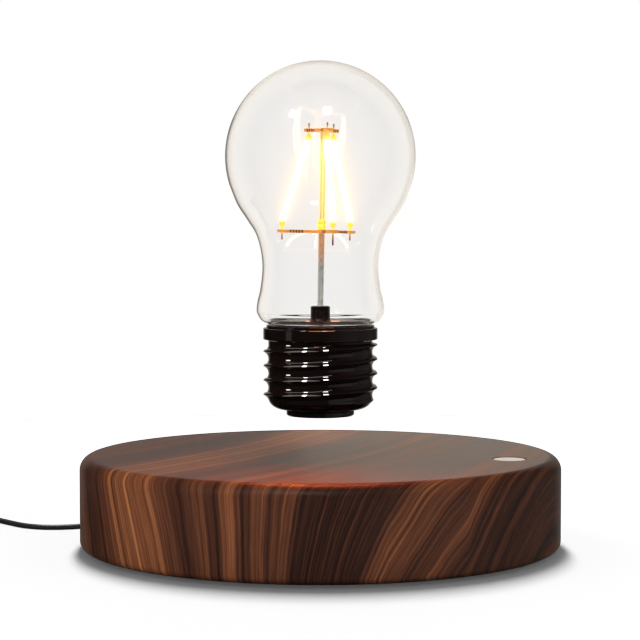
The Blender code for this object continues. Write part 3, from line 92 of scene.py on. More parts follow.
# Camera
# It stands 600 mm in front of the lamp's axis, a little higher than the bulb's middle, and looks slightly down
# through a long lens, so the base's top shows as a narrow ellipse.
CAMERA_PLACE = (-0.12 * MM, -600 * MM, 99.1 * MM)
CAMERA_DOWN = 2.68  # degrees
CAMERA_LENS = 107.9  # millimetres, on a picture 36 millimetres wide
scene = bpy.context.scene


def placed(name, data):
    """A new object in the scene."""
    thing = bpy.data.objects.new(name, data)
    scene.collection.objects.link(thing)
    return thing


camera_data = bpy.data.cameras.new("camera")
camera_data.lens = CAMERA_LENS
camera_data.sensor_width = 36
camera_data.clip_start = 10 * MM
camera_data.clip_end = 20
camera = placed("camera", camera_data)
camera.location = CAMERA_PLACE
camera.rotation_euler = (math.radians(90 - CAMERA_DOWN), 0, 0)
scene.camera = camera

# Lead
# A thin round two-core lead in a smooth black jacket. It leaves the angled plug at the back of the base, lies on the
# table, and is put away in a tied coil of 15 turns and a half; a short end goes on to the wall adapter.
LEAD_RADIUS = 0.75 * MM
PLUG_ANGLE = 120  # degrees round from +X
PLUG_MIDDLE_REACH = 80.3 * MM  # from the base's axis
PLUG_HEIGHT = 14.7 * MM
RELIEF_END = 20.3 * MM  # from the plug body's middle, along the wall
LIES = 0.8  # millimetres up to the lead's centre where it lies on the table
LEAD_TO_COIL = MM * np.array(
    [
        (-62.5, 56.0, 13.6), (-66.6, 52.6, 10.2), (-70.0, 48.6, 5.8), (-72.6, 44.4, 2.6), (-74.9, 40.0, 1.2),
        (-77.4, 36.2, LIES), (-81.2, 33.4, LIES), (-86.6, 31.9, LIES), (-92.7, 32.2, LIES), (-98.6, 35.4, LIES),
        (-104.0, 41.2, LIES), (-109.2, 47.6, LIES), (-112.8, 52.4, LIES),
    ]
)
LEAD_TO_ADAPTER = MM * np.array(
    [
        (-143.8, 48.0, 7.0), (-144.0, 38.0, 4.9), (-144.0, 28.0, 2.6), (-144.0, 18.0, 1.2), (-144.0, 8.0, LIES),
        (-144.0, -3.0, LIES), (-144.1, -14.2, LIES), (-146.1, -19.1, LIES), (-151.0, -21.2, LIES),
        (-155.9, -19.1, LIES), (-158.0, -14.2, 1.0), (-158.0, -8.0, 2.0), (-158.0, -1.6, 4.0),
    ]
)
ROUTE_STEPS = 6  # points from one place on a route to the next
ADAPTER_RELIEF_TIP = (-158 * MM, 8 * MM, 6 * MM)
COIL_CENTRE = (-129 * MM, 60 * MM)
COIL_LAYERS = 4
COIL_LAYER_TURNS = 4
COIL_PITCH = 2.14 * MM
COIL_MIDDLE_RADIUS = 10.4 * MM
COIL_LOWEST = 1.45 * MM
COIL_STEPS = 36  # points a turn


def coil_line():
    """Points along the coil. The angle grows evenly. In each layer the radius changes evenly by one pitch a turn,
    inwards in one layer and outwards in the next, and holds over the last half turn, which climbs one pitch."""
    turn = np.arange(round((COIL_LAYERS * COIL_LAYER_TURNS - 0.5) * COIL_STEPS) + 1) / COIL_STEPS
    layer = np.minimum(turn // COIL_LAYER_TURNS, COIL_LAYERS - 1)
    along = turn - layer * COIL_LAYER_TURNS
    spiral = COIL_LAYER_TURNS - 0.5
    drawn = np.minimum(along / spiral, 1)
    drawn = np.where(layer % 2 == 0, drawn, 1 - drawn)
    radius = COIL_MIDDLE_RADIUS + COIL_PITCH * spiral * (0.5 - drawn)
    climb = np.where(layer < COIL_LAYERS - 1, np.clip((along - spiral) * 2, 0, 1), 0)
    x = COIL_CENTRE[0] + radius * np.cos(2 * np.pi * turn)
    y = COIL_CENTRE[1] + radius * np.sin(2 * np.pi * turn)
    return np.column_stack([x, y, COIL_LOWEST + COIL_PITCH * (layer + climb)])


def through(route, steps):
    """Points on a smooth curve through a route: on each span, the Catmull-Rom cubic of the four points around it."""
    p = np.array(route)
    p = np.vstack([2 * p[0] - p[1], p, 2 * p[-1] - p[-2]])
    t = (np.arange(steps) / steps)[None, :, None]
    a, b, c, d = (p[i : len(p) - 3 + i, None, :] for i in range(4))
    curve = 0.5 * (2 * b + (c - a) * t + (2 * a - 5 * b + 4 * c - d) * t**2 + (3 * b - a - 3 * c + d) * t**3)
    return np.vstack([curve.reshape(-1, p.shape[1]), p[-2]])


def node(tree, kind, inputs=None, **settings):
    """Adds a node of a kind to a tree. An input given as a socket is linked, and any other is set."""
    made = tree.nodes.new(tree.bl_idname.removesuffix("Tree") + kind)
    for name, value in settings.items():
        setattr(made, name, value)
    for name, value in (inputs or {}).items():
        if isinstance(value, bpy.types.NodeSocket):
            tree.links.new(value, made.inputs[name])
        else:
            made.inputs[name].default_value = value
    return made


def finish(name, colour, roughness, **sockets):
    """A material with one colour and one roughness, and what else its shader is given. Returns it with its parts."""
    material = bpy.data.materials.new(name)
    material.use_nodes = True
    tree = material.node_tree
    shader = tree.nodes["Principled BSDF"]
    shader.inputs["Base Color"].default_value = (*colour, 1)
    shader.inputs["Roughness"].default_value = roughness
    for socket, value in sockets.items():
        shader.inputs[socket.replace("_", " ")].default_value = value
    place = node(tree, "TexCoord").outputs["Object"]
    return material, tree, shader, place


def feed(shader, **sockets):
    """Links values to a shader's sockets by name."""
    for socket, value in sockets.items():
        shader.id_data.links.new(value, shader.inputs[socket.replace("_", " ")])


def spread_of(tree, value, low, high, first, last):
    """A value carried from one range to another and held at its ends."""
    return node(tree, "MapRange", {"Value": value, 1: low, 2: high, 3: first, 4: last}).outputs[0]


def noise_of(tree, dimensions="3D", **inputs):
    """Cloudy noise from 0 to 1."""
    return node(tree, "TexNoise", inputs, noise_dimensions=dimensions).outputs["Fac"]


def mix_of(tree, share, first, second, blend="MIX"):
    """Two colours mixed by a share or multiplied. A colour is a socket or three numbers."""
    first, second = ((*colour, 1) if isinstance(colour, tuple) else colour for colour in (first, second))
    made = node(tree, "Mix", {0: share, 6: first, 7: second}, data_type="RGBA", blend_type=blend)
    return made.outputs[2]


def bump_of(tree, height, distance, **under):
    """A surface raised by a value times a distance in metres, over another bump if one is given."""
    return node(tree, "Bump", {"Height": height, "Distance": distance, "Strength": 1, **under}).outputs[0]


def mottled(tree, shader, place, dark, light, grain, bump=0.0, rough=None, stretch=(1, 1, 1)):
    """Varies a finish with noise whose grains are grain metres across: its colour from dark to light, its roughness
    between two values, and its surface by a bump of the given height in metres."""
    where = node(tree, "Mapping", {"Vector": place, "Scale": stretch}).outputs[0]
    cloud = noise_of(tree, Vector=where, Scale=1 / grain, Detail=4, Roughness=0.6)
    feed(shader, Base_Color=mix_of(tree, cloud, dark, light))
    if rough:
        feed(shader, Roughness=spread_of(tree, cloud, 0.3, 0.7, *rough))
    if bump:
        feed(shader, Normal=bump_of(tree, cloud, bump))


def mottled_finish(name, dark, light, *mottling, **sockets):
    """A finish whose only pattern is its mottling: grain, bump, rough and stretch, as mottled takes them."""
    material, tree, shader, place = finish(name, light, 0.5, **sockets)
    mottled(tree, shader, place, dark, light, *mottling)
    return material


jacket = mottled_finish(
    "cord_jacket", (0.009, 0.011, 0.011), (0.018, 0.02, 0.02), 0.6 * MM, 0.02 * MM, (0.32, 0.46)
)

plug_turn = Matrix.Rotation(math.radians(PLUG_ANGLE), 3, "Z")
plug_way = plug_turn @ Vector((0, 1, 0))
lead_start = plug_turn @ Vector((PLUG_MIDDLE_REACH, RELIEF_END, PLUG_HEIGHT))
coil = coil_line()
coil_way_in = (coil[1] - coil[0]) / np.linalg.norm(coil[1] - coil[0])
coil_way_out = (coil[-1] - coil[-2]) / np.linalg.norm(coil[-1] - coil[-2])
straight = 4 * LEAD_RADIUS  # how far the lead runs on straight out of a piece
coil_in = coil[0] - coil_way_in * straight / 2
coil_out = coil[-1] + coil_way_out * straight / 2
tip = np.array(ADAPTER_RELIEF_TIP) - (0, 0.3 * MM, 0)
to_coil = [lead_start, lead_start + plug_way * straight, *LEAD_TO_COIL, coil_in - coil_way_in * straight, coil_in]
to_adapter = [coil_out, coil_out + coil_way_out * straight, *LEAD_TO_ADAPTER, tip - (0, straight, 0), tip]
lead_points = np.vstack([through(to_coil, ROUTE_STEPS), coil, through(to_adapter, ROUTE_STEPS)])

lead_data = bpy.data.curves.new("lead", "CURVE")
lead_data.dimensions = "3D"
lead_data.bevel_depth = LEAD_RADIUS
lead_data.bevel_resolution = 4
lead_data.use_fill_caps = True
line = lead_data.splines.new("POLY")
line.points.add(len(lead_points) - 1)
line.points.foreach_set("co", np.column_stack([lead_points, np.ones(len(lead_points))]).ravel())
line.use_smooth = True
lead_data.materials.append(jacket)
lead = placed("lead", lead_data)
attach(lead, "base")
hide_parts("cord_run", "cord_coil", "cord_tail")

# Wooden base
# One piece of dark striped hardwood, turned on a lathe with rounded rims, hollowed from below with a step for the
# cover, drilled for the plug, the touch disc and the cover's screws, and finished with a thin satin oil.
WOOD_RADIUS = 75 * MM
WOOD_LOW = 1.0 * MM
WOOD_HIGH = 29.0 * MM
WOOD_TOP_ROUND = 4 * MM
WOOD_FOOT_ROUND = 2 * MM
REBATE_RADIUS = 69 * MM
REBATE_HIGH = 4.3 * MM
CAVITY_RADIUS = 62 * MM
CAVITY_HIGH = 25.0 * MM
TOUCH_PLACE = (58.0 * MM, -14.0 * MM)
TOUCH_POCKET_RADIUS = 5.3 * MM
TOUCH_POCKET_FLOOR = 27.4 * MM
STEM_HOLE_RADIUS = 1.5 * MM
PLUG_HOLE_RADIUS = 4.9 * MM
SCREW_HOLE_RADIUS = 1.6 * MM
SCREW_HOLE_ENDS = (10.8 * MM, 3.3 * MM)  # heights
COVER_SCREW_CIRCLE = 65.5 * MM
COVER_SCREW_ANGLES = (90, 210, 330)
SHARP = 35  # degrees: an edge that bends more stays sharp in the light
MERGE = 0.0005 * MM  # places closer together than this are one
BESIDE = 1.15  # from a corner to the point beside its arc, as a share of the way to the arc


def rounded(corners, ring=False, steps=5):
    """Outline of (x, z) points through corners given as (x, z) or (x, z, radius). A corner with a radius becomes an
    arc that touches both its sides. One more point stands on each side just before the arc, so that the flats beside
    it stay flat in the light. A ring's last point is its first."""
    points = []
    for index, (x, z, *radius) in enumerate(corners):
        here = np.array([x, z])
        if not any(radius):
            points.append(here)
            continue
        before = np.array(corners[index - 1][:2]) - here
        after = np.array(corners[(index + 1) % len(corners)][:2]) - here
        before /= np.linalg.norm(before)
        after /= np.linalg.norm(after)
        half = np.arccos(before @ after) / 2
        touch = radius[0] / np.tan(half)
        centre = here + (before + after) / np.linalg.norm(before + after) * radius[0] / np.sin(half)
        turn = np.pi - 2 * half
        share = np.linspace(0, 1, steps + 1)[:, None]
        first = here + before * touch - centre
        last = here + after * touch - centre
        arc = (np.sin((1 - share) * turn) * first + np.sin(share * turn) * last) / np.sin(turn)
        points += [here + before * touch * BESIDE, *(centre + arc), here + after * touch * BESIDE]
    return np.array(points + points[:1] if ring else points)


def stepped(*steps, bore=0):
    """Corners of a turned piece with a straight bore. A step is its radius, the heights of its two ends, and what
    rounds them, if anything does."""
    corners = []
    for radius, first, last, *rounds in steps:
        corners += [(radius, first, *rounds[:1]), (radius, last, *rounds[1:])]
    return [(bore, corners[0][1]), *corners, (bore, corners[-1][1])]


def turned(outline, columns=96, centre=(0, 0)):
    """Grid of an outline turned about an upright axis. A row is one point of the outline and a column one angle:
    x is the radius times the cosine, y the radius times the sine, and z the height."""
    angle = np.linspace(0, 2 * np.pi, columns + 1)
    radius, height = np.asarray(outline, float).T
    x = centre[0] + np.outer(radius, np.cos(angle))
    y = centre[1] + np.outer(radius, np.sin(angle))
    return np.stack([x, y, np.outer(height, np.ones_like(angle))], axis=-1)


def moved(grid, matrix):
    """A grid of points carried by a 4 by 4 matrix."""
    m = np.array(matrix)
    return grid @ m[:3, :3].T + m[:3, 3]


def skinned(name, grids, material, sharp=SHARP):
    """An object whose mesh is four-sided faces through each grid of points. Places where rows or columns meet are
    merged, so seams and poles close, faces point out, and edges sharper than the angle stay sharp."""
    places = np.vstack([grid.reshape(-1, 3) for grid in grids])
    faces, start = [], 0
    for grid in grids:
        rows, columns = grid.shape[:2]
        corner = start + (np.arange(rows - 1)[:, None] * columns + np.arange(columns - 1)).reshape(-1, 1)
        faces.append(corner + [0, columns, columns + 1, 1])
        start += rows * columns
    mesh = bpy.data.meshes.new(name)
    mesh.from_pydata(places.tolist(), [], np.vstack(faces).tolist())
    return closed(name, mesh, material, sharp)


def closed(name, mesh, material, sharp=SHARP):
    """Merges a mesh's doubles, points its faces out, shades it, and makes it an object with its material."""
    bm = bmesh.new()
    bm.from_mesh(mesh)
    bmesh.ops.remove_doubles(bm, verts=bm.verts, dist=MERGE)
    bmesh.ops.dissolve_degenerate(bm, dist=MERGE, edges=bm.edges)
    bmesh.ops.recalc_face_normals(bm, faces=bm.faces)
    bm.to_mesh(mesh)
    bm.free()
    mesh.shade_smooth()
    mesh.set_sharp_from_angle(angle=math.radians(sharp))
    if material:
        mesh.materials.append(material)
    return placed(name, mesh)


def cut(thing, cutters):
    """Takes the cutters' forms out of a piece, keeps the result in its mesh, and removes the cutters."""
    for cutter in cutters:
        step = thing.modifiers.new("cut", "BOOLEAN")
        step.object = cutter
        step.solver = "EXACT"
    cut_mesh = bpy.data.meshes.new_from_object(thing.evaluated_get(bpy.context.evaluated_depsgraph_get()))
    thing.modifiers.clear()
    thing.data = cut_mesh
    for cutter in cutters:
        bpy.data.objects.remove(cutter)
    cut_mesh.shade_smooth()
    cut_mesh.set_sharp_from_angle(angle=math.radians(SHARP))


def joins(thing, body, name):
    """The piece rides on its body and stands for the CAD node of that name."""
    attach(thing, body)
    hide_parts(name)


def polar(radius, degrees):
    """The x and y of a point at a radius and an angle round Z."""
    return radius * math.cos(math.radians(degrees)), radius * math.sin(math.radians(degrees))


def lying(angle, height):
    """A place whose own Z points outwards at an angle round the base's axis, at a height."""
    turn = Matrix.Rotation(math.radians(angle), 4, "Z") @ Matrix.Rotation(math.pi / 2, 4, "Y")
    return Matrix.Translation((0, 0, height)) @ turn


RING_CENTRE = (-400 * MM, 200 * MM, 0)  # the tree's heart, as the year rings on the top show it
RING_REACH = (372 * MM, 528 * MM)  # distance from the heart to the nearest and the farthest wood
YEAR = 2.1 * MM  # width of a stripe near the heart
NARROWER = (485 * MM, 525 * MM, 0, 32)  # where the outer stripes get narrower, and how many that adds
STRIPE_LEAN = (-48 * MM, 19 * MM, 0.31, -0.46)  # lean of the stripes on the front, from one x to another
RIGHT_BEND = (42 * MM, 76 * MM, 0, 14 * MM)  # how far the rings bend outwards at the right
# Distance from the heart in millimetres, and how light the wood is there.
BANDS = (
    (372, 0.45), (394, 0.42), (400, 0.24), (408, 0.36), (414, 0.60), (424, 0.72), (434, 0.62), (440, 0.46),
    (445, 0.22), (450, 0.52), (457, 0.30), (461, 0.72), (463, 0.66), (465, 0.22), (468, 0.48), (479, 0.44),
    (484, 0.20), (503, 0.22), (507, 0.58), (513, 0.48), (516, 0.32), (520, 0.58), (523, 0.26),
)
# How light the wood is, and its colour.
TONES = (
    (0.00, (0.008, 0.0040, 0.0032)),
    (0.22, (0.028, 0.0098, 0.0060)),
    (0.45, (0.074, 0.0240, 0.0115)),
    (0.68, (0.155, 0.0500, 0.0190)),
    (1.00, (0.340, 0.1250, 0.0430)),
)


def math_of(tree, operation, *values, **settings):
    """One step of arithmetic."""
    return node(tree, "Math", dict(enumerate(values)), operation=operation, **settings).outputs[0]


def sum_of(tree, value, factor, plus):
    """A value times a factor plus another."""
    return math_of(tree, "MULTIPLY_ADD", value, factor, plus)


def ramp_of(tree, value, stops):
    """A colour ramp over a value; a stop is its position and one grey or three colours."""
    made = node(tree, "ValToRGB", {"Fac": value})
    for position, colour in stops[1:-1]:
        made.color_ramp.elements.new(position)
    for element, (position, colour) in zip(made.color_ramp.elements, stops):
        element.position = position
        element.color = (*(colour if isinstance(colour, tuple) else (colour,) * 3), 1)
    return made.outputs["Color"]


walnut, tree, shader, place = finish(
    "striped_hardwood", (0.09, 0.035, 0.02), 0.4, Specular_IOR_Level=0.22, Coat_Weight=0.12, Coat_Roughness=0.16
)
x, y, z = node(tree, "SeparateXYZ", {0: place}).outputs
flat_place = node(tree, "CombineXYZ", {0: x, 1: y}).outputs[0]
ring = node(tree, "VectorMath", {0: flat_place, 1: RING_CENTRE}, operation="DISTANCE").outputs["Value"]
ring = math_of(tree, "ADD", ring, spread_of(tree, x, *RIGHT_BEND))
ring = sum_of(tree, math_of(tree, "SUBTRACT", z, WOOD_HIGH), spread_of(tree, x, *STRIPE_LEAN), ring)
drift = noise_of(tree, Vector=place, Scale=1 / (34 * MM), Detail=3, Roughness=0.55)
ring = math_of(tree, "SUBTRACT", sum_of(tree, drift, 3 * MM, ring), 1.5 * MM)
share = spread_of(tree, ring, *RING_REACH, 0, 1)
band = ramp_of(tree, share, [((at * MM - RING_REACH[0]) / (RING_REACH[1] - RING_REACH[0]), t) for at, t in BANDS])
count = sum_of(tree, ring, 1 / YEAR, spread_of(tree, ring, *NARROWER))
year = noise_of(tree, "1D", W=count, Scale=1.0, Detail=4, Roughness=0.6, Lacunarity=2.2)
fibre_way = node(tree, "VectorMath", {0: place, 1: (90, 90, 60)}, operation="MULTIPLY").outputs[0]
fibre_place = math_of(tree, "MULTIPLY", ring, 1 / (0.6 * MM))
fibre = noise_of(tree, "4D", Vector=fibre_way, W=fibre_place, Scale=1.0, Detail=2, Roughness=0.6)
tone = sum_of(tree, math_of(tree, "SUBTRACT", year, 0.5), sum_of(tree, band, 1.15, 0.4), band)
tone = math_of(tree, "SUBTRACT", sum_of(tree, fibre, 0.44, tone), 0.22, use_clamp=True)
raised = bump_of(tree, tone, 0.05 * MM, Normal=bump_of(tree, fibre, 0.1 * MM))
feed(shader, Base_Color=ramp_of(tree, tone, TONES), Roughness=spread_of(tree, tone, 0, 1, 0.36, 0.46))
feed(shader, Normal=raised, Coat_Normal=raised)

wood_outline = rounded(
    [
        (0, WOOD_HIGH),
        (WOOD_RADIUS, WOOD_HIGH, WOOD_TOP_ROUND),
        (WOOD_RADIUS, WOOD_LOW, WOOD_FOOT_ROUND),
        (REBATE_RADIUS, WOOD_LOW, 0.4 * MM),
        (REBATE_RADIUS, REBATE_HIGH),
        (CAVITY_RADIUS, REBATE_HIGH, 0.3 * MM),
        (CAVITY_RADIUS, CAVITY_HIGH, 1.5 * MM),
        (0, CAVITY_HIGH),
    ],
    steps=8,
)
wood_body = skinned("wood_body_visual", [turned(wood_outline, 256)], walnut)
touch_hole = stepped(
    (TOUCH_POCKET_RADIUS, WOOD_HIGH + MM, TOUCH_POCKET_FLOOR),
    (STEM_HOLE_RADIUS, TOUCH_POCKET_FLOOR, CAVITY_HIGH - MM),
)
plug_hole = stepped((PLUG_HOLE_RADIUS, WOOD_RADIUS + MM, CAVITY_RADIUS - MM))
screw_hole = stepped((SCREW_HOLE_RADIUS, *SCREW_HOLE_ENDS))
cutters = [
    skinned("touch_cutter", [turned(touch_hole, 64, TOUCH_PLACE)], None),
    skinned("plug_cutter", [moved(turned(plug_hole, 48), lying(PLUG_ANGLE, PLUG_HEIGHT))], None),
]
for angle in COVER_SCREW_ANGLES:
    screw_place = polar(COVER_SCREW_CIRCLE, angle)
    cutters.append(skinned("screw_cutter", [turned(screw_hole, 24, screw_place)], None))
cut(wood_body, cutters)
joins(wood_body, "base", "wood_body")
wood_body.visible_glossy = False  # the gloss black pieces over it mirror only the dark room

# Touch switch
# A satin metal disc pressed in flush with the top, on a stem through the roof, with a wire from the stem to the
# board. It senses a finger and doesn't travel.
TOUCH_RADIUS = 5 * MM
TOUCH_HIGH = 28.9 * MM
TOUCH_UNDER = 27.7 * MM
TOUCH_STEM_RADIUS = 1.2 * MM


def piece(name, body, slot, material, *grids, sharp=SHARP):
    """A finished piece skinned over its grids, in the place of the CAD node of its name."""
    thing = skinned(name + "_visual", grids, material, sharp)
    joins(thing, body, name)
    return thing


def lathed(name, body, slot, material, columns, corners, centre=(0, 0), **rounding):
    """A piece turned from the corners of its outline."""
    return piece(name, body, slot, material, turned(rounded(corners, **rounding), columns, centre))


satin_metal = mottled_finish(
    "satin_metal", (0.95, 0.91, 0.85), (1.0, 0.98, 0.94), 0.25 * MM, 0.004 * MM, (0.28, 0.4), (1, 6, 1), Metallic=0.6
)

stem_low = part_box("touch_disc")[0].z
touch_corners = stepped(
    (TOUCH_RADIUS, TOUCH_HIGH, TOUCH_UNDER, 0.3 * MM, 0.15 * MM),
    (TOUCH_STEM_RADIUS, TOUCH_UNDER, stem_low, 0, 0.2 * MM),
)
lathed("touch_disc", "base", "satin_steel", satin_metal, 72, touch_corners, TOUCH_PLACE)


def dressed(material, *names):
    """Gives CAD nodes whose shape is kept a procedural material."""
    for name in names:
        for held in frame["nodes"][name].material_slots:
            held.material = material


dressed(jacket, "touch_lead")

# Bottom cover, its screws and the feet
# A moulded black plate closes the base from below. Three pan-head screws go up into the wood, three posts on the
# plate carry the board, and four rubber feet are stuck under it.
black_plastic = mottled_finish(
    "moulded_black_plastic", (0.014, 0.014, 0.014), (0.026, 0.026, 0.027), 0.35 * MM, 0.03 * MM, (0.42, 0.6)
)
rubber = mottled_finish(
    "foot_rubber", (0.02, 0.02, 0.02), (0.04, 0.04, 0.04), 0.4 * MM, 0.04 * MM, (0.75, 0.95)
)
zinc = mottled_finish(
    "zinc_plated_steel", (0.52, 0.52, 0.54), (0.68, 0.68, 0.69), 0.5 * MM, 0.006 * MM, (0.28, 0.45), Metallic=1.0
)

for name in ("foot_1", "foot_2", "foot_3", "foot_4"):
    low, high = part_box(name)
    radius = (high.x - low.x) / 2
    corners = stepped((radius, high.z, low.z, 0.2 * MM, 0.3 * MM))
    middle = ((low.x + high.x) / 2, (low.y + high.y) / 2)
    lathed(name, "base", "foot_rubber", rubber, 48, corners, middle, steps=3)

dressed(black_plastic, "bottom_cover", "module_tray", "dc_jack")
dressed(zinc, *(f"{place}_screw_{n}" for place in ("cover", "tray") for n in (1, 2, 3)))

# Levitation module and board
# The round board sits on the cover's posts. The tray over it holds the ring magnet that lifts the bulb, the four
# wound steel cores that steady it, the sensor between them, and the flat coil that feeds the bulb.
WIRE = 0.4 * MM  # width of a turn of wire
TRACK_FIELD = 4 * MM  # about how far apart the board's fields of tracks stand
TRACKS = 9.0  # tracks in that distance

ferrite = mottled_finish("ferrite", (0.045, 0.045, 0.05), (0.085, 0.085, 0.09), 0.3 * MM, 0.02 * MM, (0.45, 0.7))


def wound(name, flat):
    """Enamelled copper wire in even turns: light and dark bands as wide as a wire, out from the axis where the coil
    is flat and else along Z."""
    material, tree, shader, place = finish(name, (0.72, 0.3, 0.13), 0.3, Metallic=1.0)
    x, y, z = node(tree, "SeparateXYZ", {0: place}).outputs
    if flat:
        squares = [math_of(tree, "MULTIPLY", way, way) for way in (x, y)]
        z = math_of(tree, "SQRT", math_of(tree, "ADD", *squares))
    wave = math_of(tree, "SINE", math_of(tree, "MULTIPLY", z, 2 * math.pi / WIRE))
    level = spread_of(tree, wave, -1.0, 1.0, 0, 1)
    feed(
        shader,
        Base_Color=mix_of(tree, level, (0.3, 0.09, 0.03), (0.8, 0.36, 0.16)),
        Normal=bump_of(tree, level, 0.08 * MM),
    )
    return material


copper_winding = wound("copper_winding", False)
copper_spiral = wound("copper_spiral", True)

# The boards' green lacquer lies over fields of parallel tracks.
circuit_board, tree, shader, place = finish("circuit_board", (0.02, 0.16, 0.06), 0.35)
fields = node(
    tree, "TexVoronoi", {"Vector": place, "Scale": 1 / TRACK_FIELD}, distance="MANHATTAN", feature="F1"
)
track = math_of(tree, "MODULO", math_of(tree, "MULTIPLY", fields.outputs["Distance"], TRACKS), 1.0)
track = math_of(tree, "LESS_THAN", track, 0.35)
feed(
    shader,
    Base_Color=mix_of(tree, track, (0.008, 0.085, 0.03), (0.02, 0.2, 0.075)),
    Normal=bump_of(tree, track, 0.03 * MM),
)

dressed(ferrite, "ring_magnet")
dressed(copper_winding, *(f"winding_{n}" for n in (1, 2, 3, 4)))
dressed(copper_spiral, "transmit_coil", "receiver_coil")
dressed(zinc, *(f"core_{n}" for n in (1, 2, 3, 4)))
dressed(circuit_board, "control_board", "hall_sensor_board", "receiver_board")

# Angled plug
# The low-voltage plug: a barrel and a round neck go through the wood into the socket, and the moulded body outside
# turns the lead along the wall. A ribbed tapered relief guards the lead where it leaves.
PLUG_DEPTH = 9 * MM
PLUG_WIDTH = 12 * MM
PLUG_BODY_HEIGHT = 10 * MM
PLUG_EDGE = 1.5 * MM
NECK_RADIUS = 4.6 * MM
BARREL_RADIUS = 2.75 * MM
BARREL_BORE = 1.35 * MM
BARREL_REACH = 52.5 * MM  # from the base's axis to the barrel's open end
NECK_REACH = 62 * MM
RELIEF_LENGTH = 14 * MM
RELIEF_ROOT = 2.5 * MM
RELIEF_TIP = 1.2 * MM
RELIEF_RIBS = 6


def block(size, centre, edge, steps=4):
    """Grid of a block with rounded edges. A point is a corner of a smaller block inside, plus a point on a ball of
    the edge's radius in that corner's eighth. Columns go round the upright edges, and rows from the bottom's middle
    to the top's. A column or row just beside each arc keeps the flats flat in the light."""
    half = np.array(size) / 2 - edge
    quarter = np.linspace(0, np.pi / 2, steps + 1)
    around = np.concatenate([np.concatenate([[0], quarter, [np.pi / 2]]) + k * np.pi / 2 for k in range(4)])
    beside = np.tile(np.concatenate([[-edge], np.zeros(steps + 1), [edge]]), 4)
    sign_x = np.repeat([1, -1, -1, 1], steps + 3)
    sign_y = np.repeat([1, 1, -1, -1], steps + 3)
    around, beside, sign_x, sign_y = (np.append(a, a[0]) for a in (around, beside, sign_x, sign_y))
    up = np.concatenate([[-np.pi / 2] * 2, quarter - np.pi / 2, [0], [0], quarter, [np.pi / 2] * 2])
    sign_z = np.repeat([-1, 1], steps + 4)
    shift = np.concatenate([[0, 0], np.zeros(steps + 1), [edge], [-edge], np.zeros(steps + 1), [0, 0]])
    spread = np.concatenate([[0, 0.8], np.ones(2 * steps + 4), [0.8, 0]])[:, None]
    x = spread * (sign_x * half[0] - np.sin(around) * beside) + np.outer(np.cos(up), np.cos(around)) * edge
    y = spread * (sign_y * half[1] + np.cos(around) * beside) + np.outer(np.cos(up), np.sin(around)) * edge
    z = np.outer(sign_z * half[2] + shift + np.sin(up) * edge, np.ones_like(around))
    return np.stack([x, y, z], axis=-1) + np.array(centre)


def relief_outline(length, root, end, ribs):
    """Outline of a tapered relief: an even taper, less a round groove between each rib and the next."""
    along = np.linspace(0, 1, ribs * 8 + 1)
    radius = root + (end - root) * along
    groove = np.clip(np.sin(np.pi * ribs * (along * 2 - 0.5)), 0, 1) * (along > 0.06) * (along < 0.97)
    radius = radius - 0.16 * (radius - end * 0.4) * groove
    return np.column_stack([np.concatenate([[0], radius, [0]]), np.concatenate([[0], along, [1]]) * length])


plug_place = Matrix.Rotation(math.radians(PLUG_ANGLE), 4, "Z")
plug_body = block(
    (PLUG_DEPTH, PLUG_WIDTH, PLUG_BODY_HEIGHT), (PLUG_MIDDLE_REACH, 0, PLUG_HEIGHT), PLUG_EDGE
)
plug_stem = rounded(
    [
        (0, PLUG_MIDDLE_REACH - PLUG_DEPTH / 4),
        (NECK_RADIUS, PLUG_MIDDLE_REACH - PLUG_DEPTH / 4),
        (NECK_RADIUS, NECK_REACH, 0.4 * MM),
        (BARREL_RADIUS, NECK_REACH),
        (BARREL_RADIUS, BARREL_REACH, 0.3 * MM),
        (BARREL_BORE, BARREL_REACH, 0.2 * MM),
        (BARREL_BORE, NECK_REACH),
        (0, NECK_REACH),
    ]
)
relief_turn = (
    plug_place
    @ Matrix.Translation((PLUG_MIDDLE_REACH, PLUG_WIDTH / 2, PLUG_HEIGHT))
    @ Matrix.Rotation(-math.pi / 2, 4, "X")
)
relief = relief_outline(RELIEF_LENGTH, RELIEF_ROOT, RELIEF_TIP, RELIEF_RIBS)
dc_plug = piece(
    "dc_plug", "base", "black_plastic", black_plastic,
    moved(plug_body, plug_place),
    moved(turned(plug_stem, 48), lying(PLUG_ANGLE, PLUG_HEIGHT)),
    moved(turned(relief, 32), relief_turn),
)

# Coil tie
# A flat strap of black plastic, closed round the bundle of turns at the coil's back so that the coil stays together.
# It is as thin under the lowest turns as over the highest.
TIE_THICKNESS = 0.4 * MM
TIE_CORNER = 1.2 * MM


def strap(low, high, thickness, corner):
    """Grid of a flat strap that runs round a block in the plane of Y and Z: a rounded oblong path, at each point of
    which stands the strap's cross-section, four points of a thin oblong as wide as the block is along X."""
    half = (np.array(high) - np.array(low)) / 2
    middle = (np.array(high) + np.array(low)) / 2
    quarter = np.linspace(0, np.pi / 2, 7)
    angle = np.concatenate([quarter + k * np.pi / 2 for k in range(4)] + [[2 * np.pi]])
    sign = np.array([[1, 1], [-1, 1], [-1, -1], [1, -1]])
    corner_y = np.append(np.repeat(sign[:, 0], 7), 1) * (half[1] - corner)
    corner_z = np.append(np.repeat(sign[:, 1], 7), 1) * (half[2] - corner)
    across = np.array([-1, 1, 1, -1, -1]) * half[0]
    depth = np.array([0, 0, 1, 1, 0]) * thickness
    y = corner_y[:, None] + np.cos(angle)[:, None] * (corner - depth)
    z = corner_z[:, None] + np.sin(angle)[:, None] * (corner - depth)
    x = np.broadcast_to(across, y.shape)
    return np.stack([middle[0] + x, middle[1] + y, middle[2] + z], axis=-1)


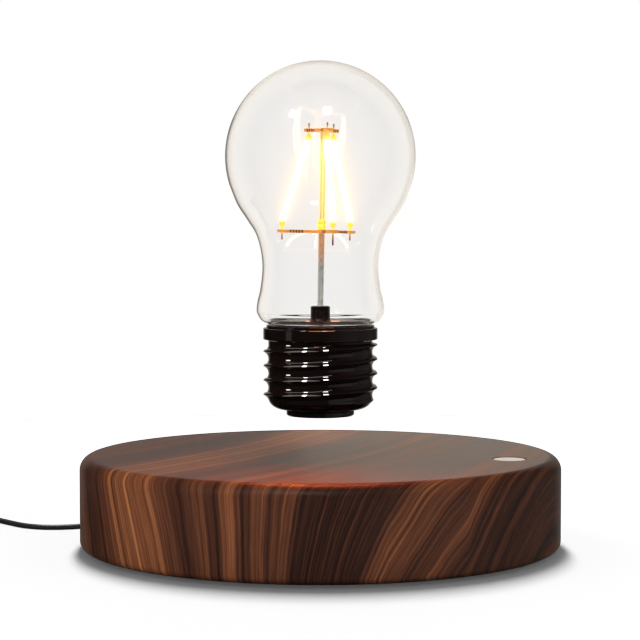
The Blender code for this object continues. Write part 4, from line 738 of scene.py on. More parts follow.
tie = strap(*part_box("coil_tie"), TIE_THICKNESS, TIE_CORNER)
coil_tie = piece("coil_tie", "base", "black_plastic", black_plastic, tie)

# Wall adapter
# A moulded black case on its side, closed by a cover plate that holds two flat nickel-plated blades. The lead comes
# in through a ribbed relief on the front face.
ADAPTER_DEPTH = 20 * MM
ADAPTER_EDGE = 2 * MM
ADAPTER_FRONT = 20 * MM  # Y of the front face
ADAPTER_RELIEF = 12 * MM

nickel = mottled_finish(
    "nickel_plate", (0.66, 0.64, 0.61), (0.76, 0.74, 0.71), 0.8 * MM, 0.003 * MM, (0.16, 0.26), Metallic=1.0
)

case_low, case_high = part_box("adapter_case")
case_front = Vector((case_high.x - ADAPTER_DEPTH, ADAPTER_FRONT, case_low.z))
case_size = Vector((ADAPTER_DEPTH, case_high.y - ADAPTER_FRONT, case_high.z - case_low.z))
case_relief = relief_outline(ADAPTER_RELIEF + MM, RELIEF_TIP, RELIEF_ROOT, 5)
case_relief_place = Matrix.Translation(ADAPTER_RELIEF_TIP) @ Matrix.Rotation(-math.pi / 2, 4, "X")
adapter_case = piece(
    "adapter_case", "base", "black_plastic", black_plastic,
    block(case_size, case_front + case_size / 2, ADAPTER_EDGE),
    moved(turned(case_relief, 32), case_relief_place),
)
for name, slot, material, edge in (
    ("adapter_cover", "black_plastic", black_plastic, MM),
    ("adapter_blade_1", "nickel_plate", nickel, 0.4 * MM),
    ("adapter_blade_2", "nickel_plate", nickel, 0.4 * MM),
):
    low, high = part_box(name)
    piece(name, "base", slot, material, block(high - low, (high + low) / 2, edge))

# Screw body of the bulb
# A moulded gloss black tube with one right-handed thread on it, hollow grooves and sharp crests. It rounds in to a
# floor with a hole for the cap's spigot, and holds the receiving coil, the magnet and the board.
SHELL_LOW = 43.1 * MM
SHELL_HIGH = 64.7 * MM
SHELL_FLOOR_HIGH = 45.2 * MM
SHELL_BORE = 14 * MM
THREAD_CREST = 17.9 * MM
THREAD_ROOT = 16.3 * MM
THREAD_PITCH = 4.5 * MM
THREAD_ZERO = 58.85 * MM  # height of a crest at the right, where the angle is 0
THREAD_RUNOUT = 2.4 * MM
THREAD_ROWS = 36  # a pitch
CREST_ROUND = 0.02  # of a pitch
CREST_LAND = (0.13, 0.18)  # of a pitch: how far the sloping land over a crest reaches, and where it ends
DOME_HEIGHT = 3.6 * MM
DOME_FOOT = 11.4 * MM
CAP_HOLE_RADIUS = 9.3 * MM

gloss_black = mottled_finish(
    "gloss_black_plastic", (0.003, 0.0015, 0.0015), (0.006, 0.003, 0.003), 3 * MM, 0, (0.02, 0.045)
)


def eased(x):
    """A smooth step from 0 to 1."""
    x = np.clip(x, 0, 1)
    return x * x * (3 - 2 * x)


def thread_height(u):
    """The thread's height as a share of its depth, u in pitches from a crest: a round hollow between sharp crests
    with a narrow sloping land on each crest's upper side."""
    away = np.sqrt((u - np.round(u)) ** 2 + CREST_ROUND**2)
    depth = (THREAD_CREST - THREAD_ROOT) / THREAD_PITCH
    hollow = (0.25 + depth**2) / (2 * depth)
    round_hollow = (hollow - np.sqrt(hollow**2 - np.clip(0.5 - away, 0, 0.5) ** 2)) / depth
    over = u - np.round(u)
    land = 1 - 1.4 * over - 1.6 * over**2
    share = eased(over / 0.03 + 1) * (1 - eased((over - CREST_LAND[0]) / (CREST_LAND[1] - CREST_LAND[0])))
    return round_hollow + (land - round_hollow) * share


def thread_grid(columns=160):
    """Grid of the threaded side. A row keeps one place in the thread's profile, so its height climbs one pitch a
    turn and its ends meet those of the rows a pitch away. The radius is the root's, which rounds in towards the
    floor, plus the thread's height there, which fades out at both ends. Heights past an end are held at it."""
    around = np.linspace(0, 2 * np.pi, columns + 1)
    low = SHELL_LOW + DOME_HEIGHT / 2
    high = SHELL_HIGH - THREAD_RUNOUT / 4
    first = math.floor((low - THREAD_ZERO) / THREAD_PITCH) - 1
    last = math.ceil((high - THREAD_ZERO) / THREAD_PITCH)
    phase = np.arange(last * THREAD_ROWS, first * THREAD_ROWS - 1, -1) / THREAD_ROWS
    z = np.clip(THREAD_ZERO + THREAD_PITCH * (phase[:, None] + around / (2 * np.pi)), low, high)
    fade = eased((z - low) / THREAD_RUNOUT) * eased((high - z) / (THREAD_RUNOUT / 4))
    into_dome = np.clip(1 - (z - SHELL_LOW) / DOME_HEIGHT, 0, 1)
    root = DOME_FOOT + (THREAD_ROOT - DOME_FOOT) * np.sqrt(1 - into_dome**2)
    radius = root + (THREAD_CREST - THREAD_ROOT) * thread_height(phase)[:, None] * fade
    return np.stack([radius * np.cos(around), radius * np.sin(around), z], axis=-1)


dome_angle = np.radians(np.linspace(-30, -90, 13))
dome_radius = DOME_FOOT + (THREAD_ROOT - DOME_FOOT) * np.cos(dome_angle)
dome = np.column_stack([dome_radius, SHELL_LOW + DOME_HEIGHT + DOME_HEIGHT * np.sin(dome_angle)])
shell_above = [
    (SHELL_BORE, SHELL_FLOOR_HIGH),
    (SHELL_BORE, SHELL_HIGH),
    (THREAD_ROOT, SHELL_HIGH),
    (THREAD_ROOT, SHELL_HIGH - THREAD_RUNOUT / 4),
]
shell_below = np.vstack(
    [dome, [(CAP_HOLE_RADIUS, SHELL_LOW), (CAP_HOLE_RADIUS, SHELL_FLOOR_HIGH), (SHELL_BORE, SHELL_FLOOR_HIGH)]]
)
shell_grids = (turned(shell_above, 160), thread_grid(), turned(shell_below, 160))
screw_shell = piece("screw_shell", "bulb", "gloss_black", gloss_black, *shell_grids, sharp=50)
dressed(nickel, "float_magnet")

# Bottom cap and collar
# The cap is a thin disc whose spigot plugs the shell's floor. The collar is a flanged ring that stands in the
# shell's top, holds the glass's mouth, and has a low lip round it. Both are the same gloss black.
CAP_RADIUS = 10.6 * MM
CAP_HIGH = 42.8 * MM
CAP_SPIGOT = 9 * MM
COLLAR_RADIUS = 17.9 * MM
COLLAR_LOW = 65.0 * MM
COLLAR_HIGH = 68.6 * MM
COLLAR_LIP_RADIUS = 16.9 * MM
COLLAR_LIP_HIGH = 69.5 * MM
COLLAR_MOUTH = 16.4 * MM
COLLAR_LEDGE = 66.6 * MM
COLLAR_SPIGOT = 13.7 * MM
COLLAR_FOOT = 62.0 * MM
COLLAR_BORE = 12.5 * MM

cap_low, cap_top = (corner.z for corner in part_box("bottom_cap"))
cap_corners = stepped(
    (CAP_SPIGOT, cap_top, CAP_HIGH, 0.3 * MM), (CAP_RADIUS, CAP_HIGH, cap_low, 0.2 * MM, 0.5 * MM)
)
lathed("bottom_cap", "bulb", "gloss_black", gloss_black, 128, cap_corners)

collar_corners = [
    (COLLAR_MOUTH, COLLAR_LEDGE),
    (COLLAR_MOUTH, COLLAR_LIP_HIGH, 0.15 * MM),
    (COLLAR_LIP_RADIUS, COLLAR_LIP_HIGH, 0.15 * MM),
    (COLLAR_LIP_RADIUS, COLLAR_HIGH),
    (COLLAR_RADIUS, COLLAR_HIGH, 0.35 * MM),
    (COLLAR_RADIUS, COLLAR_LOW, 0.35 * MM),
    (COLLAR_SPIGOT, COLLAR_LOW),
    (COLLAR_SPIGOT, COLLAR_FOOT, 0.3 * MM),
    (COLLAR_BORE, COLLAR_FOOT, 0.3 * MM),
    (COLLAR_BORE, COLLAR_LEDGE),
]
collar = lathed("collar", "bulb", "gloss_black", gloss_black, 192, collar_corners, ring=True)

# Seat disc and stem boss
# A gloss black disc closes the glass's mouth. The satin black boss on it holds the rod and flares a little at its
# foot.
SEAT_RADIUS = 15.0 * MM
SEAT_LOW = 66.9 * MM
SEAT_HIGH = 69.9 * MM
ROD_BORE = 1.45 * MM
BOSS_RADIUS = 3.05 * MM
BOSS_LOW = 70.2 * MM
BOSS_HIGH = 75.4 * MM
BOSS_FOOT = 3.6 * MM

boss_black = mottled_finish(
    "satin_black_plastic", (0.005, 0.003, 0.003), (0.012, 0.008, 0.008), 0.5 * MM, 0.006 * MM, (0.18, 0.28),
    Specular_IOR_Level=0.25,
)
seat_black = mottled_finish(
    "seat_black_plastic", (0.004, 0.002, 0.002), (0.009, 0.005, 0.005), 1.5 * MM, 0, (0.04, 0.09),
    Specular_IOR_Level=0.15,
)

seat_corners = stepped((SEAT_RADIUS, SEAT_HIGH, SEAT_LOW, 0.5 * MM, 0.5 * MM), bore=ROD_BORE)
seat_disc = lathed("seat_disc", "bulb", "gloss_black", seat_black, 128, seat_corners, ring=True)
boss_corners = [
    (ROD_BORE, BOSS_HIGH),
    (BOSS_RADIUS, BOSS_HIGH, 0.5 * MM),
    (BOSS_RADIUS, BOSS_LOW + 0.9 * MM, 0.8 * MM),
    (BOSS_FOOT, BOSS_LOW, 0.1 * MM),
    (ROD_BORE, BOSS_LOW),
]
stem_boss = lathed("stem_boss", "bulb", "black_plastic", boss_black, 64, boss_corners, ring=True)

# Wire frame
# A thin nickel-plated rod stands in the boss and leans a little to the right. A sleeve crimped on it holds the lower
# plate down, and the upper plate is riveted to its top. Both plates are thin stamped brass with combed edges.
FRAME_LEAN = 0.95  # degrees
ROD_RADIUS = 0.95 * MM
ROD_SINK = 7 * MM
LOWER_PLATE = 23.6 * MM  # over the boss's top
UPPER_PLATE = 54.8 * MM
PLATE_THICKNESS = 1.0 * MM
PLATE_ARM = 3.0 * MM  # width
SLEEVE_RADIUS = 1.4 * MM
SLEEVE_LENGTH = 2.6 * MM
FILAMENT_ANGLES = (165.4, 285.4, 45.4)  # degrees round from +X
LOWER_REACH = 14.3 * MM
UPPER_REACH = 6.0 * MM
LOWER_TEETH = (5.9 * MM, 9.7 * MM, 0.94 * MM)  # first and last notch along an arm, and their spacing
UPPER_TEETH = (2.6 * MM, 5.0 * MM, 0.72 * MM)
ROD_SPAN = (76 * MM, 132 * MM)  # heights over which the rod's two ramps run
TAB_SPAN = (94 * MM, 134 * MM)
# The rod's painted light: a light grey at the foot, a painted copper glow just under the lower plate, and painted
# yellow filament light above it. The tints go into its colour, and a painted glow of the same kind into its
# emission, though the rod is no lamp.
ROD_PAINTED_TINTS = (
    (0.0, (0.92, 0.94, 0.88)), (0.2, (0.85, 0.84, 0.78)), (0.3, (0.85, 0.45, 0.25)), (0.4, (0.78, 0.34, 0.13)),
    (0.43, (0.98, 0.82, 0.34)), (1.0, (0.98, 0.84, 0.38)),
)
ROD_PAINTED_GLOW = (
    (0.0, (0.34, 0.35, 0.32)), (0.2, (0.3, 0.29, 0.26)), (0.38, (0.95, 0.46, 0.24)), (0.43, (0.9, 0.66, 0.2)),
    (1.0, (0.9, 0.7, 0.25)),
)
# The tabs: painted bright by the filaments' light, in their colour and in an emission though they are no lamp, and
# darker at the tips of their pins.
TAB_TINTS = (
    (0.0, (0.10, 0.02, 0.012)), (0.05, (0.10, 0.02, 0.012)), (0.09, (0.8, 0.3, 0.1)), (0.12, (1.0, 1.0, 1.0)),
    (0.90, (1.0, 1.0, 1.0)), (0.95, (0.2, 0.07, 0.04)),
)
TAB_PAINTED_GLOW = (1.0, 0.82, 0.02)


def plain_colour(shader):
    """The colour that a finish's mottling gives."""
    return shader.inputs["Base Color"].links[0].from_socket


def way_up(tree, place, low, high):
    """How far up a place is between two heights, from 0 to 1."""
    return spread_of(tree, node(tree, "SeparateXYZ", {0: place}).outputs[2], low, high, 0, 1)


frame_place = Matrix.Translation((0, 0, BOSS_HIGH)) @ Matrix.Rotation(math.radians(FRAME_LEAN), 4, "Y")
# Painted light: the rod's colour and emission carry the filaments' glow by height.
rod_metal, tree, shader, place = finish("rod_metal", (0.55, 0.53, 0.49), 0.3, Metallic=0.7, Emission_Strength=0.45)
mottled(tree, shader, place, (0.8, 0.8, 0.8), (1.0, 1.0, 1.0), 0.5 * MM, 0.006 * MM, (0.22, 0.4), (1, 1, 0.15))
along = way_up(tree, place, *ROD_SPAN)
painted_tints = mix_of(tree, 1.0, ramp_of(tree, along, ROD_PAINTED_TINTS), plain_colour(shader), "MULTIPLY")
feed(shader, Base_Color=painted_tints, Emission_Color=ramp_of(tree, along, ROD_PAINTED_GLOW))
# Painted light: the plates glow warm in an emission, though they are no lamp.
brass, tree, shader, place = finish("warm_brass", (0.8, 0.42, 0.14), 0.35, Metallic=0.6, Emission_Strength=0.3)
mottled(tree, shader, place, (0.85, 0.34, 0.06), (0.98, 0.50, 0.12), 0.4 * MM, 0.01 * MM, (0.3, 0.45))
# Painted shade: the sides of the notches are darkened, and their glow dimmed.
notch_shade = node(tree, "Attribute", attribute_name="notch_shade").outputs["Fac"]
feed(
    shader,
    Base_Color=mix_of(tree, notch_shade, plain_colour(shader), (0.2, 0.015, 0.006)),
    Emission_Color=mix_of(tree, notch_shade, (1.0, 0.3, 0.02), (0.12, 0.01, 0.003)),
)
# Painted light: the tabs and the sleeve glow yellow though they are no lamp.
tab_metal, tree, shader, place = finish("tab_metal", (0.95, 0.78, 0.1), 0.35, Metallic=0.6, Emission_Strength=0.6)
mottled(tree, shader, place, (0.9, 0.66, 0.05), (1.0, 0.86, 0.15), 0.4 * MM, 0.01 * MM, (0.25, 0.4))
tips = ramp_of(tree, way_up(tree, place, *TAB_SPAN), TAB_TINTS)
feed(
    shader,
    Base_Color=mix_of(tree, 1.0, tips, plain_colour(shader), "MULTIPLY"),
    Emission_Color=mix_of(tree, 1.0, tips, TAB_PAINTED_GLOW, "MULTIPLY"),
)

rod_top = UPPER_PLATE + PLATE_THICKNESS
rod_outline = rounded(stepped((ROD_RADIUS, rod_top, -ROD_SINK, 0.35 * MM, 0.2 * MM)))
piece("centre_rod", "bulb", "nickel_plate", rod_metal, moved(turned(rod_outline, 48), frame_place))

sleeve_low = LOWER_PLATE + PLATE_THICKNESS / 2 + 0.3 * MM
sleeve_bore = ROD_RADIUS + 0.1 * MM
sleeve_outline = rounded(
    [
        (sleeve_bore, sleeve_low + SLEEVE_LENGTH),
        (SLEEVE_RADIUS - 0.12 * MM, sleeve_low + SLEEVE_LENGTH, 0.15 * MM),
        (SLEEVE_RADIUS - 0.12 * MM, sleeve_low + 0.7 * SLEEVE_LENGTH, 0.1 * MM),
        (SLEEVE_RADIUS - 0.22 * MM, sleeve_low + 0.5 * SLEEVE_LENGTH, 0.2 * MM),
        (SLEEVE_RADIUS, sleeve_low + 0.3 * SLEEVE_LENGTH, 0.1 * MM),
        (SLEEVE_RADIUS, sleeve_low, 0.15 * MM),
        (sleeve_bore, sleeve_low),
    ],
    ring=True,
    steps=3,
)
piece("rod_sleeve", "bulb", "warm_brass", tab_metal, moved(turned(sleeve_outline, 40), frame_place))


def combed_star(reach, teeth):
    """Outline of a plate with three arms round a hub, as points in X and Y, and the points whose next side lies in a
    gap. Each arm goes out along one side, across its rounded end and back along the other. At each gap both sides
    step in by two fifths of their half-width and out again. The hub's edge joins the arms by arcs."""
    half = PLATE_ARM / 2
    gaps = np.arange(teeth[0], teeth[1] + 1e-6, teeth[2])
    side_x = (gaps[:, None] + np.array([-0.3, -0.3, 0.3, 0.3]) * teeth[2]).ravel()
    side_y = np.tile([half, half * 0.6, half * 0.6, half], len(gaps))
    end = np.radians(np.linspace(90, -90, 9))
    end_x = reach - 0.4 * half + 0.4 * half * np.cos(end)
    end_y = half * np.sign(np.sin(end)) * np.abs(np.sin(end)) ** 0.5
    arm = np.vstack(
        [
            np.column_stack([side_x, side_y]),
            np.column_stack([end_x, end_y]),
            np.column_stack([side_x[::-1], -side_y[::-1]]),
        ]
    )
    hub_start = math.asin(half / PLATE_ARM)
    hub = np.linspace(-hub_start, hub_start - math.radians(120), 8)
    hub = PLATE_ARM * np.column_stack([np.cos(hub), np.sin(hub)])
    sides = 4 * len(gaps)
    in_gap = np.zeros(len(arm) + len(hub), bool)
    in_gap[:sides] = in_gap[sides + 9 : 2 * sides + 9] = np.arange(sides) % 4 < 3
    whole = []
    for angle in sorted(FILAMENT_ANGLES, reverse=True):
        c, s = math.cos(math.radians(angle)), math.sin(math.radians(angle))
        whole.append(np.vstack([arm, hub]) @ np.array([[c, s], [-s, c]]))
    return np.vstack(whole), np.flatnonzero(np.tile(in_gap, 3))


def stamped(name, outline, low, high, matrix, material, edge, shaded_sides=()):
    """A flat piece: its outline at two heights joined by its sides, with a small bevel on every edge. The sides that
    start at the given points carry an attribute, 1 there and 0 elsewhere, that marks where painted shade darkens the
    notches."""
    count = len(outline)
    places = np.vstack([np.column_stack([outline, np.full(count, z)]) for z in (low, high)])
    index = np.arange(count)
    after = (index + 1) % count
    faces = np.column_stack([index, after, after + count, index + count]).tolist()
    faces += [index[::-1].tolist(), (index + count).tolist()]
    mesh = bpy.data.meshes.new(name)
    mesh.from_pydata(moved(places, matrix).tolist(), [], faces)
    notch_shade = mesh.attributes.new("notch_shade", "FLOAT", "FACE")
    for point in shaded_sides:
        notch_shade.data[point].value = 1
    thing = closed(name, mesh, material, 30)
    bevel = thing.modifiers.new("edge", "BEVEL")
    bevel.width = edge
    bevel.segments = 2
    bevel.limit_method = "ANGLE"
    bevel.angle_limit = math.radians(40)
    return thing


for name, height, reach, teeth in (
    ("lower_plate", LOWER_PLATE, LOWER_REACH, LOWER_TEETH),
    ("upper_plate", UPPER_PLATE, UPPER_REACH, UPPER_TEETH),
):
    low = height - PLATE_THICKNESS / 2
    star, gap_sides = combed_star(reach, teeth)
    high = low + PLATE_THICKNESS
    plate = stamped(name + "_visual", star, low, high, frame_place, brass, 0.06 * MM, gap_sides)
    joins(plate, "bulb", name)

# Filaments
# Three straight rods of yellow coating over a strip of tiny lights, which glow warm white. Each is held by a flat
# metal tab at both ends, whose narrow pin goes through the plate.
FILAMENT_RADIUS = 1.0 * MM
FOOT_CIRCLE = 12.9 * MM  # radius on which the filaments' feet stand
HEAD_CIRCLE = 4.65 * MM
TAB_LENGTH = 1.9 * MM
TAB_WIDTH = 1.9 * MM
TAB_THICKNESS = 0.5 * MM
PIN_WIDTH = 0.5 * MM
FILAMENT_ROUND = 0.45 * MM
COAT_OVER = 0.22 * MM  # how far the clear yellow coat stands over the row of lights
LOWER_PINS = (2.4 * MM, 4.0 * MM, 2.4 * MM)  # how far the pins come out under the lower plate
UPPER_PIN = 1.8 * MM
CLEAR = PLATE_THICKNESS / 2 + 0.3 * MM + TAB_LENGTH + 0.3 * MM  # from a plate's middle to a filament's end

glow = mottled_finish(
    "filament_lights", (1.0, 0.70, 0.28), (1.0, 0.84, 0.42), 0.7 * MM, 0.03 * MM,
    Emission_Strength=3.6, Emission_Color=(1.0, 0.84, 0.62, 1),
)


def see_through(name, colour, **sockets):
    """A smooth clear finish that lets the light of lamps straight through."""
    material, tree, shader, place = finish(name, colour, 0.0, Transmission_Weight=1.0, **sockets)
    lamp_rays = node(tree, "LightPath").outputs["Is Shadow Ray"]
    clear = node(tree, "BsdfTransparent", {"Color": (*(0.93 * c for c in colour), 1)})
    both = node(tree, "MixShader", {0: lamp_rays, 1: shader.outputs[0], 2: clear.outputs[0]})
    tree.links.new(both.outputs[0], tree.nodes["Material Output"].inputs["Surface"])
    return material, tree, shader, place


coating, tree, shader, place = see_through(
    "filament_coating", (1.0, 0.96, 0.6), IOR=1.02, Emission_Strength=0.35, Emission_Color=(1.0, 0.85, 0.4, 1)
)
mottled(tree, shader, place, (1.0, 0.93, 0.52), (1.0, 0.98, 0.68), 0.9 * MM)


def tab_outline(pin):
    """Side view of a tab: a narrow pin up through the plate, and shoulders that widen to the flat tab."""
    thin, wide, foot = PIN_WIDTH / 2, TAB_WIDTH / 2, PLATE_THICKNESS / 2 + 0.3 * MM
    low = -PLATE_THICKNESS / 2 - pin
    right = [
        (thin * 0.4, low),
        (thin, low + thin),
        (thin, foot),
        (wide * 0.5, foot + TAB_LENGTH * 0.18),
        (wide * 0.85, foot + TAB_LENGTH * 0.5),
        (wide, foot + TAB_LENGTH * 0.75),
        (wide, foot + TAB_LENGTH * 0.92),
        (wide * 0.85, foot + TAB_LENGTH),
    ]
    return np.array(right + [(-x, z) for x, z in right[::-1]])


def filament_rod(name, number, foot, head, over, material):
    """A straight rod with rounded ends from one tab to the other, a little thicker than the row of lights."""
    way = head - foot
    lean = Vector((0, 0, 1)).rotation_difference(way).to_matrix().to_4x4()
    trim = FILAMENT_RADIUS * math.sqrt(1 - (way.z / way.length) ** 2)
    radius, low, high = FILAMENT_RADIUS + over, trim - over, way.length - trim + over
    outline = rounded(stepped((radius, low, high, FILAMENT_ROUND, FILAMENT_ROUND)))
    rod_place = frame_place @ Matrix.Translation(foot) @ lean
    rod = skinned(name, [moved(turned(outline, 32), rod_place)], material)
    joins(rod, "bulb", f"filament_{number}")
    return rod


filaments = []
for number, angle in enumerate(FILAMENT_ANGLES, 1):
    ends = []
    for which, height, circle, pin, way in (
        ("lower", LOWER_PLATE, FOOT_CIRCLE, LOWER_PINS[number - 1], 1),
        ("upper", UPPER_PLATE, HEAD_CIRCLE, UPPER_PIN, -1),
    ):
        at = Vector((*polar(circle, angle), height))
        ends.append(at + Vector((0, 0, way * CLEAR)))
        tab_place = frame_place @ Matrix.Translation(at) @ Matrix.Rotation(math.radians(90 * way), 4, "X")
        name = f"filament_tab_{which}_{number}"
        half = TAB_THICKNESS / 2
        tab = stamped(name + "_visual", tab_outline(pin), -half, half, tab_place, tab_metal, 0.08 * MM)
        joins(tab, "bulb", name)
    filaments.append(filament_rod(f"filament_{number}_visual", number, *ends, 0, glow))
    filament_rod(f"filament_{number}_coat", number, *ends, COAT_OVER, coating)

# Glass
# Clear blown glass with an even thin wall: a round head, a narrow waist, a small swell over the mouth, and a short
# straight mouth that stands in the collar.
GLASS_TOP = 151.8 * MM
GLASS_LOW = 66.9 * MM
HEAD_RADIUS = 29.7 * MM
HEAD_ARC = 105.3  # degrees down from the top
MOUTH_RADIUS = 16.1 * MM
GLASS_WALL = 0.8 * MM
# Radius and height of places on the side, from the head down to the mouth.
GLASS_SIDE = MM * np.array(
    [
        (27.84, 111.90), (25.81, 106.97), (22.74, 102.22), (20.13, 97.97), (18.62, 92.79), (18.10, 87.28),
        (18.75, 80.91), (19.62, 77.09), (19.95, 74.03), (19.41, 72.42), (18.45, 70.98), (17.18, 70.21),
        (16.10, 69.91),
    ]
)

glass, tree, shader, place = see_through("clear_glass", (1.0, 0.993, 0.984), IOR=1.45)
wobble = noise_of(tree, Vector=place, Scale=1 / (14 * MM), Detail=1)
feed(shader, Normal=bump_of(tree, wobble, 0.05 * MM))


def glass_outline():
    """Outline of the whole wall: an arc for the head, a smooth curve through the places on the side, the straight
    mouth, and then back up inside, each point moved in by the wall's thickness square to the curve."""
    angle = np.radians(90 - np.linspace(0, HEAD_ARC, 49))
    head = np.column_stack([HEAD_RADIUS * np.cos(angle), GLASS_TOP - HEAD_RADIUS + HEAD_RADIUS * np.sin(angle)])
    side = through([head[-4], head[-1], *GLASS_SIDE], 8)[8:]
    outer = np.vstack([head, side[1:], [(MOUTH_RADIUS, 0.5 * (GLASS_LOW + side[-1][1])), (MOUTH_RADIUS, GLASS_LOW)]])
    outer[0, 0] = 0
    way = np.gradient(outer, axis=0)
    way /= np.linalg.norm(way, axis=1)[:, None]
    inner = outer + np.column_stack([way[:, 1], -way[:, 0]]) * GLASS_WALL
    inner[0] = (0, GLASS_TOP - GLASS_WALL)
    inner[-1] = (MOUTH_RADIUS - GLASS_WALL, GLASS_LOW)
    return np.vstack([outer, inner[::-1]])


piece("glass_bulb", "bulb", "clear_glass", glass, turned(glass_outline(), 160), sharp=60)

# Table and light
# A plain white table in a white room under soft studio light. A bright light behind casts the short shadow on the
# table, and most other lights reach only one piece, to give it the marks and sheens that it has.
TABLE_RADIUS = 0.42  # metres
WHITE = (1, 1, 1)
BULB_FOOT = (0, 0, 60 * MM)
SHEEN = ("glossy", "transmission")  # rays in which a light would show as a mark
LAMP_REACH = 1.2  # metres from a light to what it faces
angle = np.linspace(0, 2 * np.pi, 65)[:-1]
rim = np.column_stack([TABLE_RADIUS * np.cos(angle), TABLE_RADIUS * np.sin(angle), np.zeros(64)])
table_mesh = bpy.data.meshes.new("table")
table_mesh.from_pydata(rim.tolist(), [], [list(range(64))])
table = placed("table", table_mesh)
table_mesh.materials.append(finish("table_white", (0.9, 0.9, 0.9), 0.6)[0])
table.is_shadow_catcher = True
table.visible_glossy = False
table.visible_transmission = False
table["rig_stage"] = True

# The room is white where it is seen, straight or through the glass. A gloss surface mirrors a dark room that is a
# little lighter at the right and far behind; the glass mirrors a lighter one, darker at the outline's upper left.
world = bpy.data.worlds.new("studio")
scene.world = world
world.use_nodes = True
tree = world.node_tree
tree.nodes.clear()
path = node(tree, "LightPath").outputs
seen = math_of(tree, "LESS_THAN", math_of(tree, "ADD", path["Glossy Depth"], path["Diffuse Depth"]), 0.5)
direction = node(tree, "TexCoord").outputs["Generated"]
x, y, z = node(tree, "SeparateXYZ", {0: direction}).outputs


def either(share, first, second):
    """One level or another of the room's light, mixed by a share."""
    return node(tree, "Mix", {0: share, 2: first, 3: second}, data_type="FLOAT").outputs[0]


low_right = math_of(
    tree, "MULTIPLY", spread_of(tree, x, 0.28, 0.34, 0.04, 0.25), spread_of(tree, y, -0.25, -0.1, 1.0, 0.12)
)
right = spread_of(tree, x, 0.5, 0.95, 0.01, 0.13)
beside = sum_of(tree, spread_of(tree, z, -0.12, -0.04, 1.0, 0.0), low_right, right)
off_gloss = math_of(tree, "ADD", beside, spread_of(tree, y, 0.84, 0.99, 0.0, 0.42))
upper_left = spread_of(tree, z, 0.14, 0.24, -0.8, 0.06)
lower_right = spread_of(tree, z, -0.05, 0.03, 0.12, -0.22)
darker = either(spread_of(tree, x, -0.14, -0.04, 0.0, 1.0), upper_left, lower_right)
outline = sum_of(tree, spread_of(tree, y, 0.88, 0.96, 0.0, 1.0), darker, 1.0)
off_glass = math_of(tree, "MULTIPLY", spread_of(tree, y, 0.1, 0.65, 0.0, 0.86), outline)
mirrored = either(path["Is Singular Ray"], off_gloss, off_glass)
level = either(seen, either(path["Is Diffuse Ray"], mirrored, 0.2), 1.0)
warmth = mix_of(tree, seen, (1, 0.94, 0.86), (1, 1, 1))
background = node(tree, "Background", {"Color": warmth, "Strength": level})
node(tree, "OutputWorld", {"Surface": background.outputs[0]})

scene.view_settings.view_transform = "Standard"
scene.view_settings.look = "None"
scene.render.film_transparent = False


def toward(azimuth, elevation):
    """The way to a light. Azimuth is in degrees from the camera's side towards the right."""
    a, e = math.radians(azimuth), math.radians(elevation)
    return Vector((math.sin(a) * math.cos(e), -math.cos(a) * math.cos(e), math.sin(e)))


def group(name, *things):
    """A collection that only says what a light reaches."""
    made = bpy.data.collections.new(name)
    for thing in things:
        made.objects.link(thing)
    return made


def lamp_of(name, kind, power, colour, only, hidden_from=()):
    """A light that reaches only one group, and that rays of the kinds named don't see."""
    data = bpy.data.lights.new(name, kind)
    data.energy = power
    data.color = colour
    lamp = placed(name, data)
    lamp.light_linking.receiver_collection = only
    for ray in hidden_from:
        setattr(lamp, "visible_" + ray, False)
    return lamp


def panel(
    only, name, azimuth, elevation, size, power, colour=WHITE, hidden_from=(), aim=BULB_FOOT, distance=LAMP_REACH
):
    """A square light, or an oblong one where the size is two sides, that faces a point. Its power is in watts."""
    lamp = lamp_of(name, "AREA", power, colour, only, hidden_from)
    if isinstance(size, tuple):
        lamp.data.shape = "RECTANGLE"
        lamp.data.size, lamp.data.size_y = size
    else:
        lamp.data.size = size
    way = toward(azimuth, elevation)
    lamp.location = Vector(aim) + way * distance
    lamp.rotation_euler = way.to_track_quat("Z", "Y").to_euler()
    return lamp


def sky(only, name, azimuth, elevation, strength, angle):
    """A far wide light from one side of the sky that doesn't show in reflections."""
    lamp = lamp_of(name, "SUN", strength, WHITE, only, SHEEN)
    lamp.data.angle = math.radians(angle)
    lamp.rotation_euler = toward(azimuth, elevation).to_track_quat("Z", "Y").to_euler()
    return lamp


def ember(only, name, height, radius, power, hidden_from=()):
    """The warm light of the filaments, where it falls on what lies below them."""
    lamp = lamp_of(name, "POINT", power, (1, 0.1, 0.004), only, hidden_from)
    lamp.data.shadow_soft_size = radius
    lamp.location = (0, 0, height)


lit = [thing for thing in bpy.data.objects if thing.type in ("MESH", "CURVE") and not thing.get("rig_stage")]
bulb_things = [thing for thing in lit if thing.get("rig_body") == "bulb"]
whole_lamp = group("lit_lamp", *lit)
base_only = group("lit_base", *(thing for thing in lit if thing.get("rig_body") == "base"))
wood_only = group("lit_wood", wood_body)
shell_only = group("lit_shell", screw_shell)
collar_only = group("lit_collar", collar)
table_only = group("lit_table", table)
key_group = group("lit_by_keys", *(thing for thing in bulb_things if thing is not stem_boss))

# Two small lights in front make the bright marks in the glass and the thread, and leave the boss dark. Four more are
# marks and sheens on the shell and the collar.
panel(key_group, "key_left", -44, 48.5, 0.15, 4.6)
panel(key_group, "key_right", 11.5, 55, 0.17, 5.8)
panel(shell_only, "spot_left", -76, 8, 0.22, 4.6, (1, 0.93, 0.76))
panel(shell_only, "crest_sheen", -34, 50, (2.6, 0.15), 4.2, (1, 0.88, 0.78))
panel(collar_only, "collar_spot", -66, -4, 0.28, 0.1, (1, 0.95, 0.9))
panel(collar_only, "collar_copper", 3, 42, (1.0, 0.6), 60, (1, 0.22, 0.06), ["diffuse"])
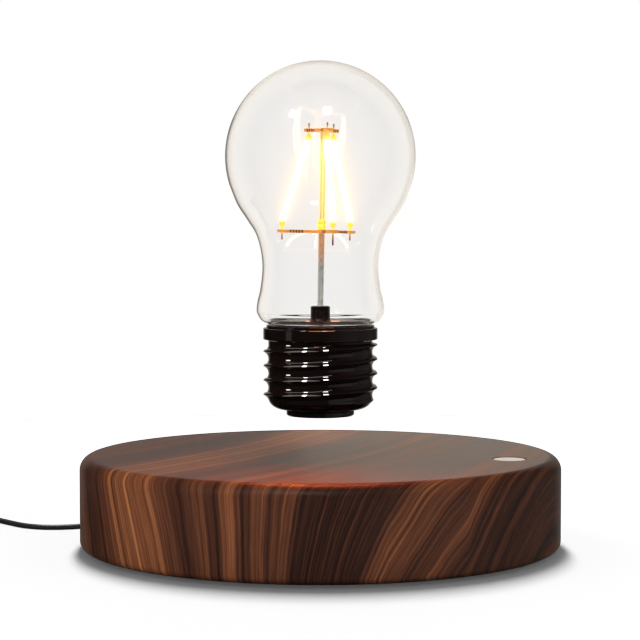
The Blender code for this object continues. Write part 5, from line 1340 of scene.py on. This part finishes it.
# The base: two broad lights from the front, a sheen along its rim, and a pale window far behind on its top. The lead
# has its own sheen, and two wide skies light the whole lamp.
panel(base_only, "front_left", -48, 28, 0.7, 8.6, hidden_from=SHEEN)
panel(base_only, "front_right", 56, 32, 0.7, 4.9, (1, 0.88, 0.76), SHEEN)
panel(base_only, "rim_sheen", -14, 42, 0.5, 1.5)
panel(base_only, "backdrop", 175, 2.5, 0.32, 0.3, (1, 0.88, 0.7), aim=(0, 0, WOOD_HIGH), distance=1.5)
panel(group("lit_lead", lead), "lead_sheen", 190, 52, 0.5, 14, (0.9, 0.97, 1))
sky(whole_lamp, "sky_back", 180, 58, 1.0, 60)
sky(whole_lamp, "sky_front", 0, 50, 0.6, 150)
# The filaments light only the bulb. Their warm light on the wood, the collar and the seat has its own lights.
bulb_only = group("lit_bulb", *bulb_things)
for filament in filaments:
    filament.light_linking.receiver_collection = bulb_only
ember(wood_only, "glow_base", 112 * MM, 18 * MM, 0.1)
ember(wood_only, "glow_rim", 112 * MM, 16 * MM, 2.1, ["diffuse"])
ember(group("lit_by_glow", seat_disc, collar), "glow_foot", 92 * MM, 4 * MM, 0.12)
panel(
    group("lit_seat", seat_disc), "glow_seat", 180, 0, (11 * MM, 1.5 * MM), 0.0003, (1, 0.2, 0.01),
    ["camera", "transmission"], (0.8 * MM, 0, 71.8 * MM), 9 * MM,
)
# The table: a long light behind whose shadow only the base casts, and a high one without shadow.
shade = panel(table_only, "shade_table", 183, 67, (0.18, 1.0), 30, hidden_from=SHEEN, distance=1.6)
shade.light_linking.blocker_collection = base_only
sky(table_only, "fill_table", 180, 80, 0.24, 20).light_linking.blocker_collection = table_only

# Camera glow
# Light from the filaments spreads a little in the lens: a narrow white bloom and a wider warm one. It is only in the
# picture.
GLARE_FROM = 2.4  # brightness over which light spreads
HALO = (1.1, 0.72, 0.52, 1)  # colour towards which the wide glow draws the picture
HALO_GAIN = 0.7
HALO_MOST = 0.35  # largest share of that colour

scene.use_nodes = True
tree = scene.node_tree
tree.nodes.clear()
layers = node(tree, "RLayers").outputs["Image"]


def glare(**inputs):
    """Light that spreads from the picture's brightest parts."""
    inputs = {"Image": layers, "Threshold": GLARE_FROM, **inputs}
    return node(tree, "Glare", inputs, glare_type="BLOOM", quality="HIGH").outputs


bloom = glare(Size=0.06, Strength=0.9, Tint=(1, 0.9, 0.6, 1))["Image"]
amount = node(tree, "SeparateColor", {"Image": glare(Size=0.3, Strength=1.0)["Glare"]}).outputs[0]
amount = math_of(tree, "MINIMUM", math_of(tree, "MULTIPLY", amount, HALO_GAIN), HALO_MOST)
halo = node(tree, "MixRGB", {0: amount, 1: bloom, 2: HALO}, blend_type="MIX").outputs["Image"]
node(tree, "Composite", {"Image": halo})

low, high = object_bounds()
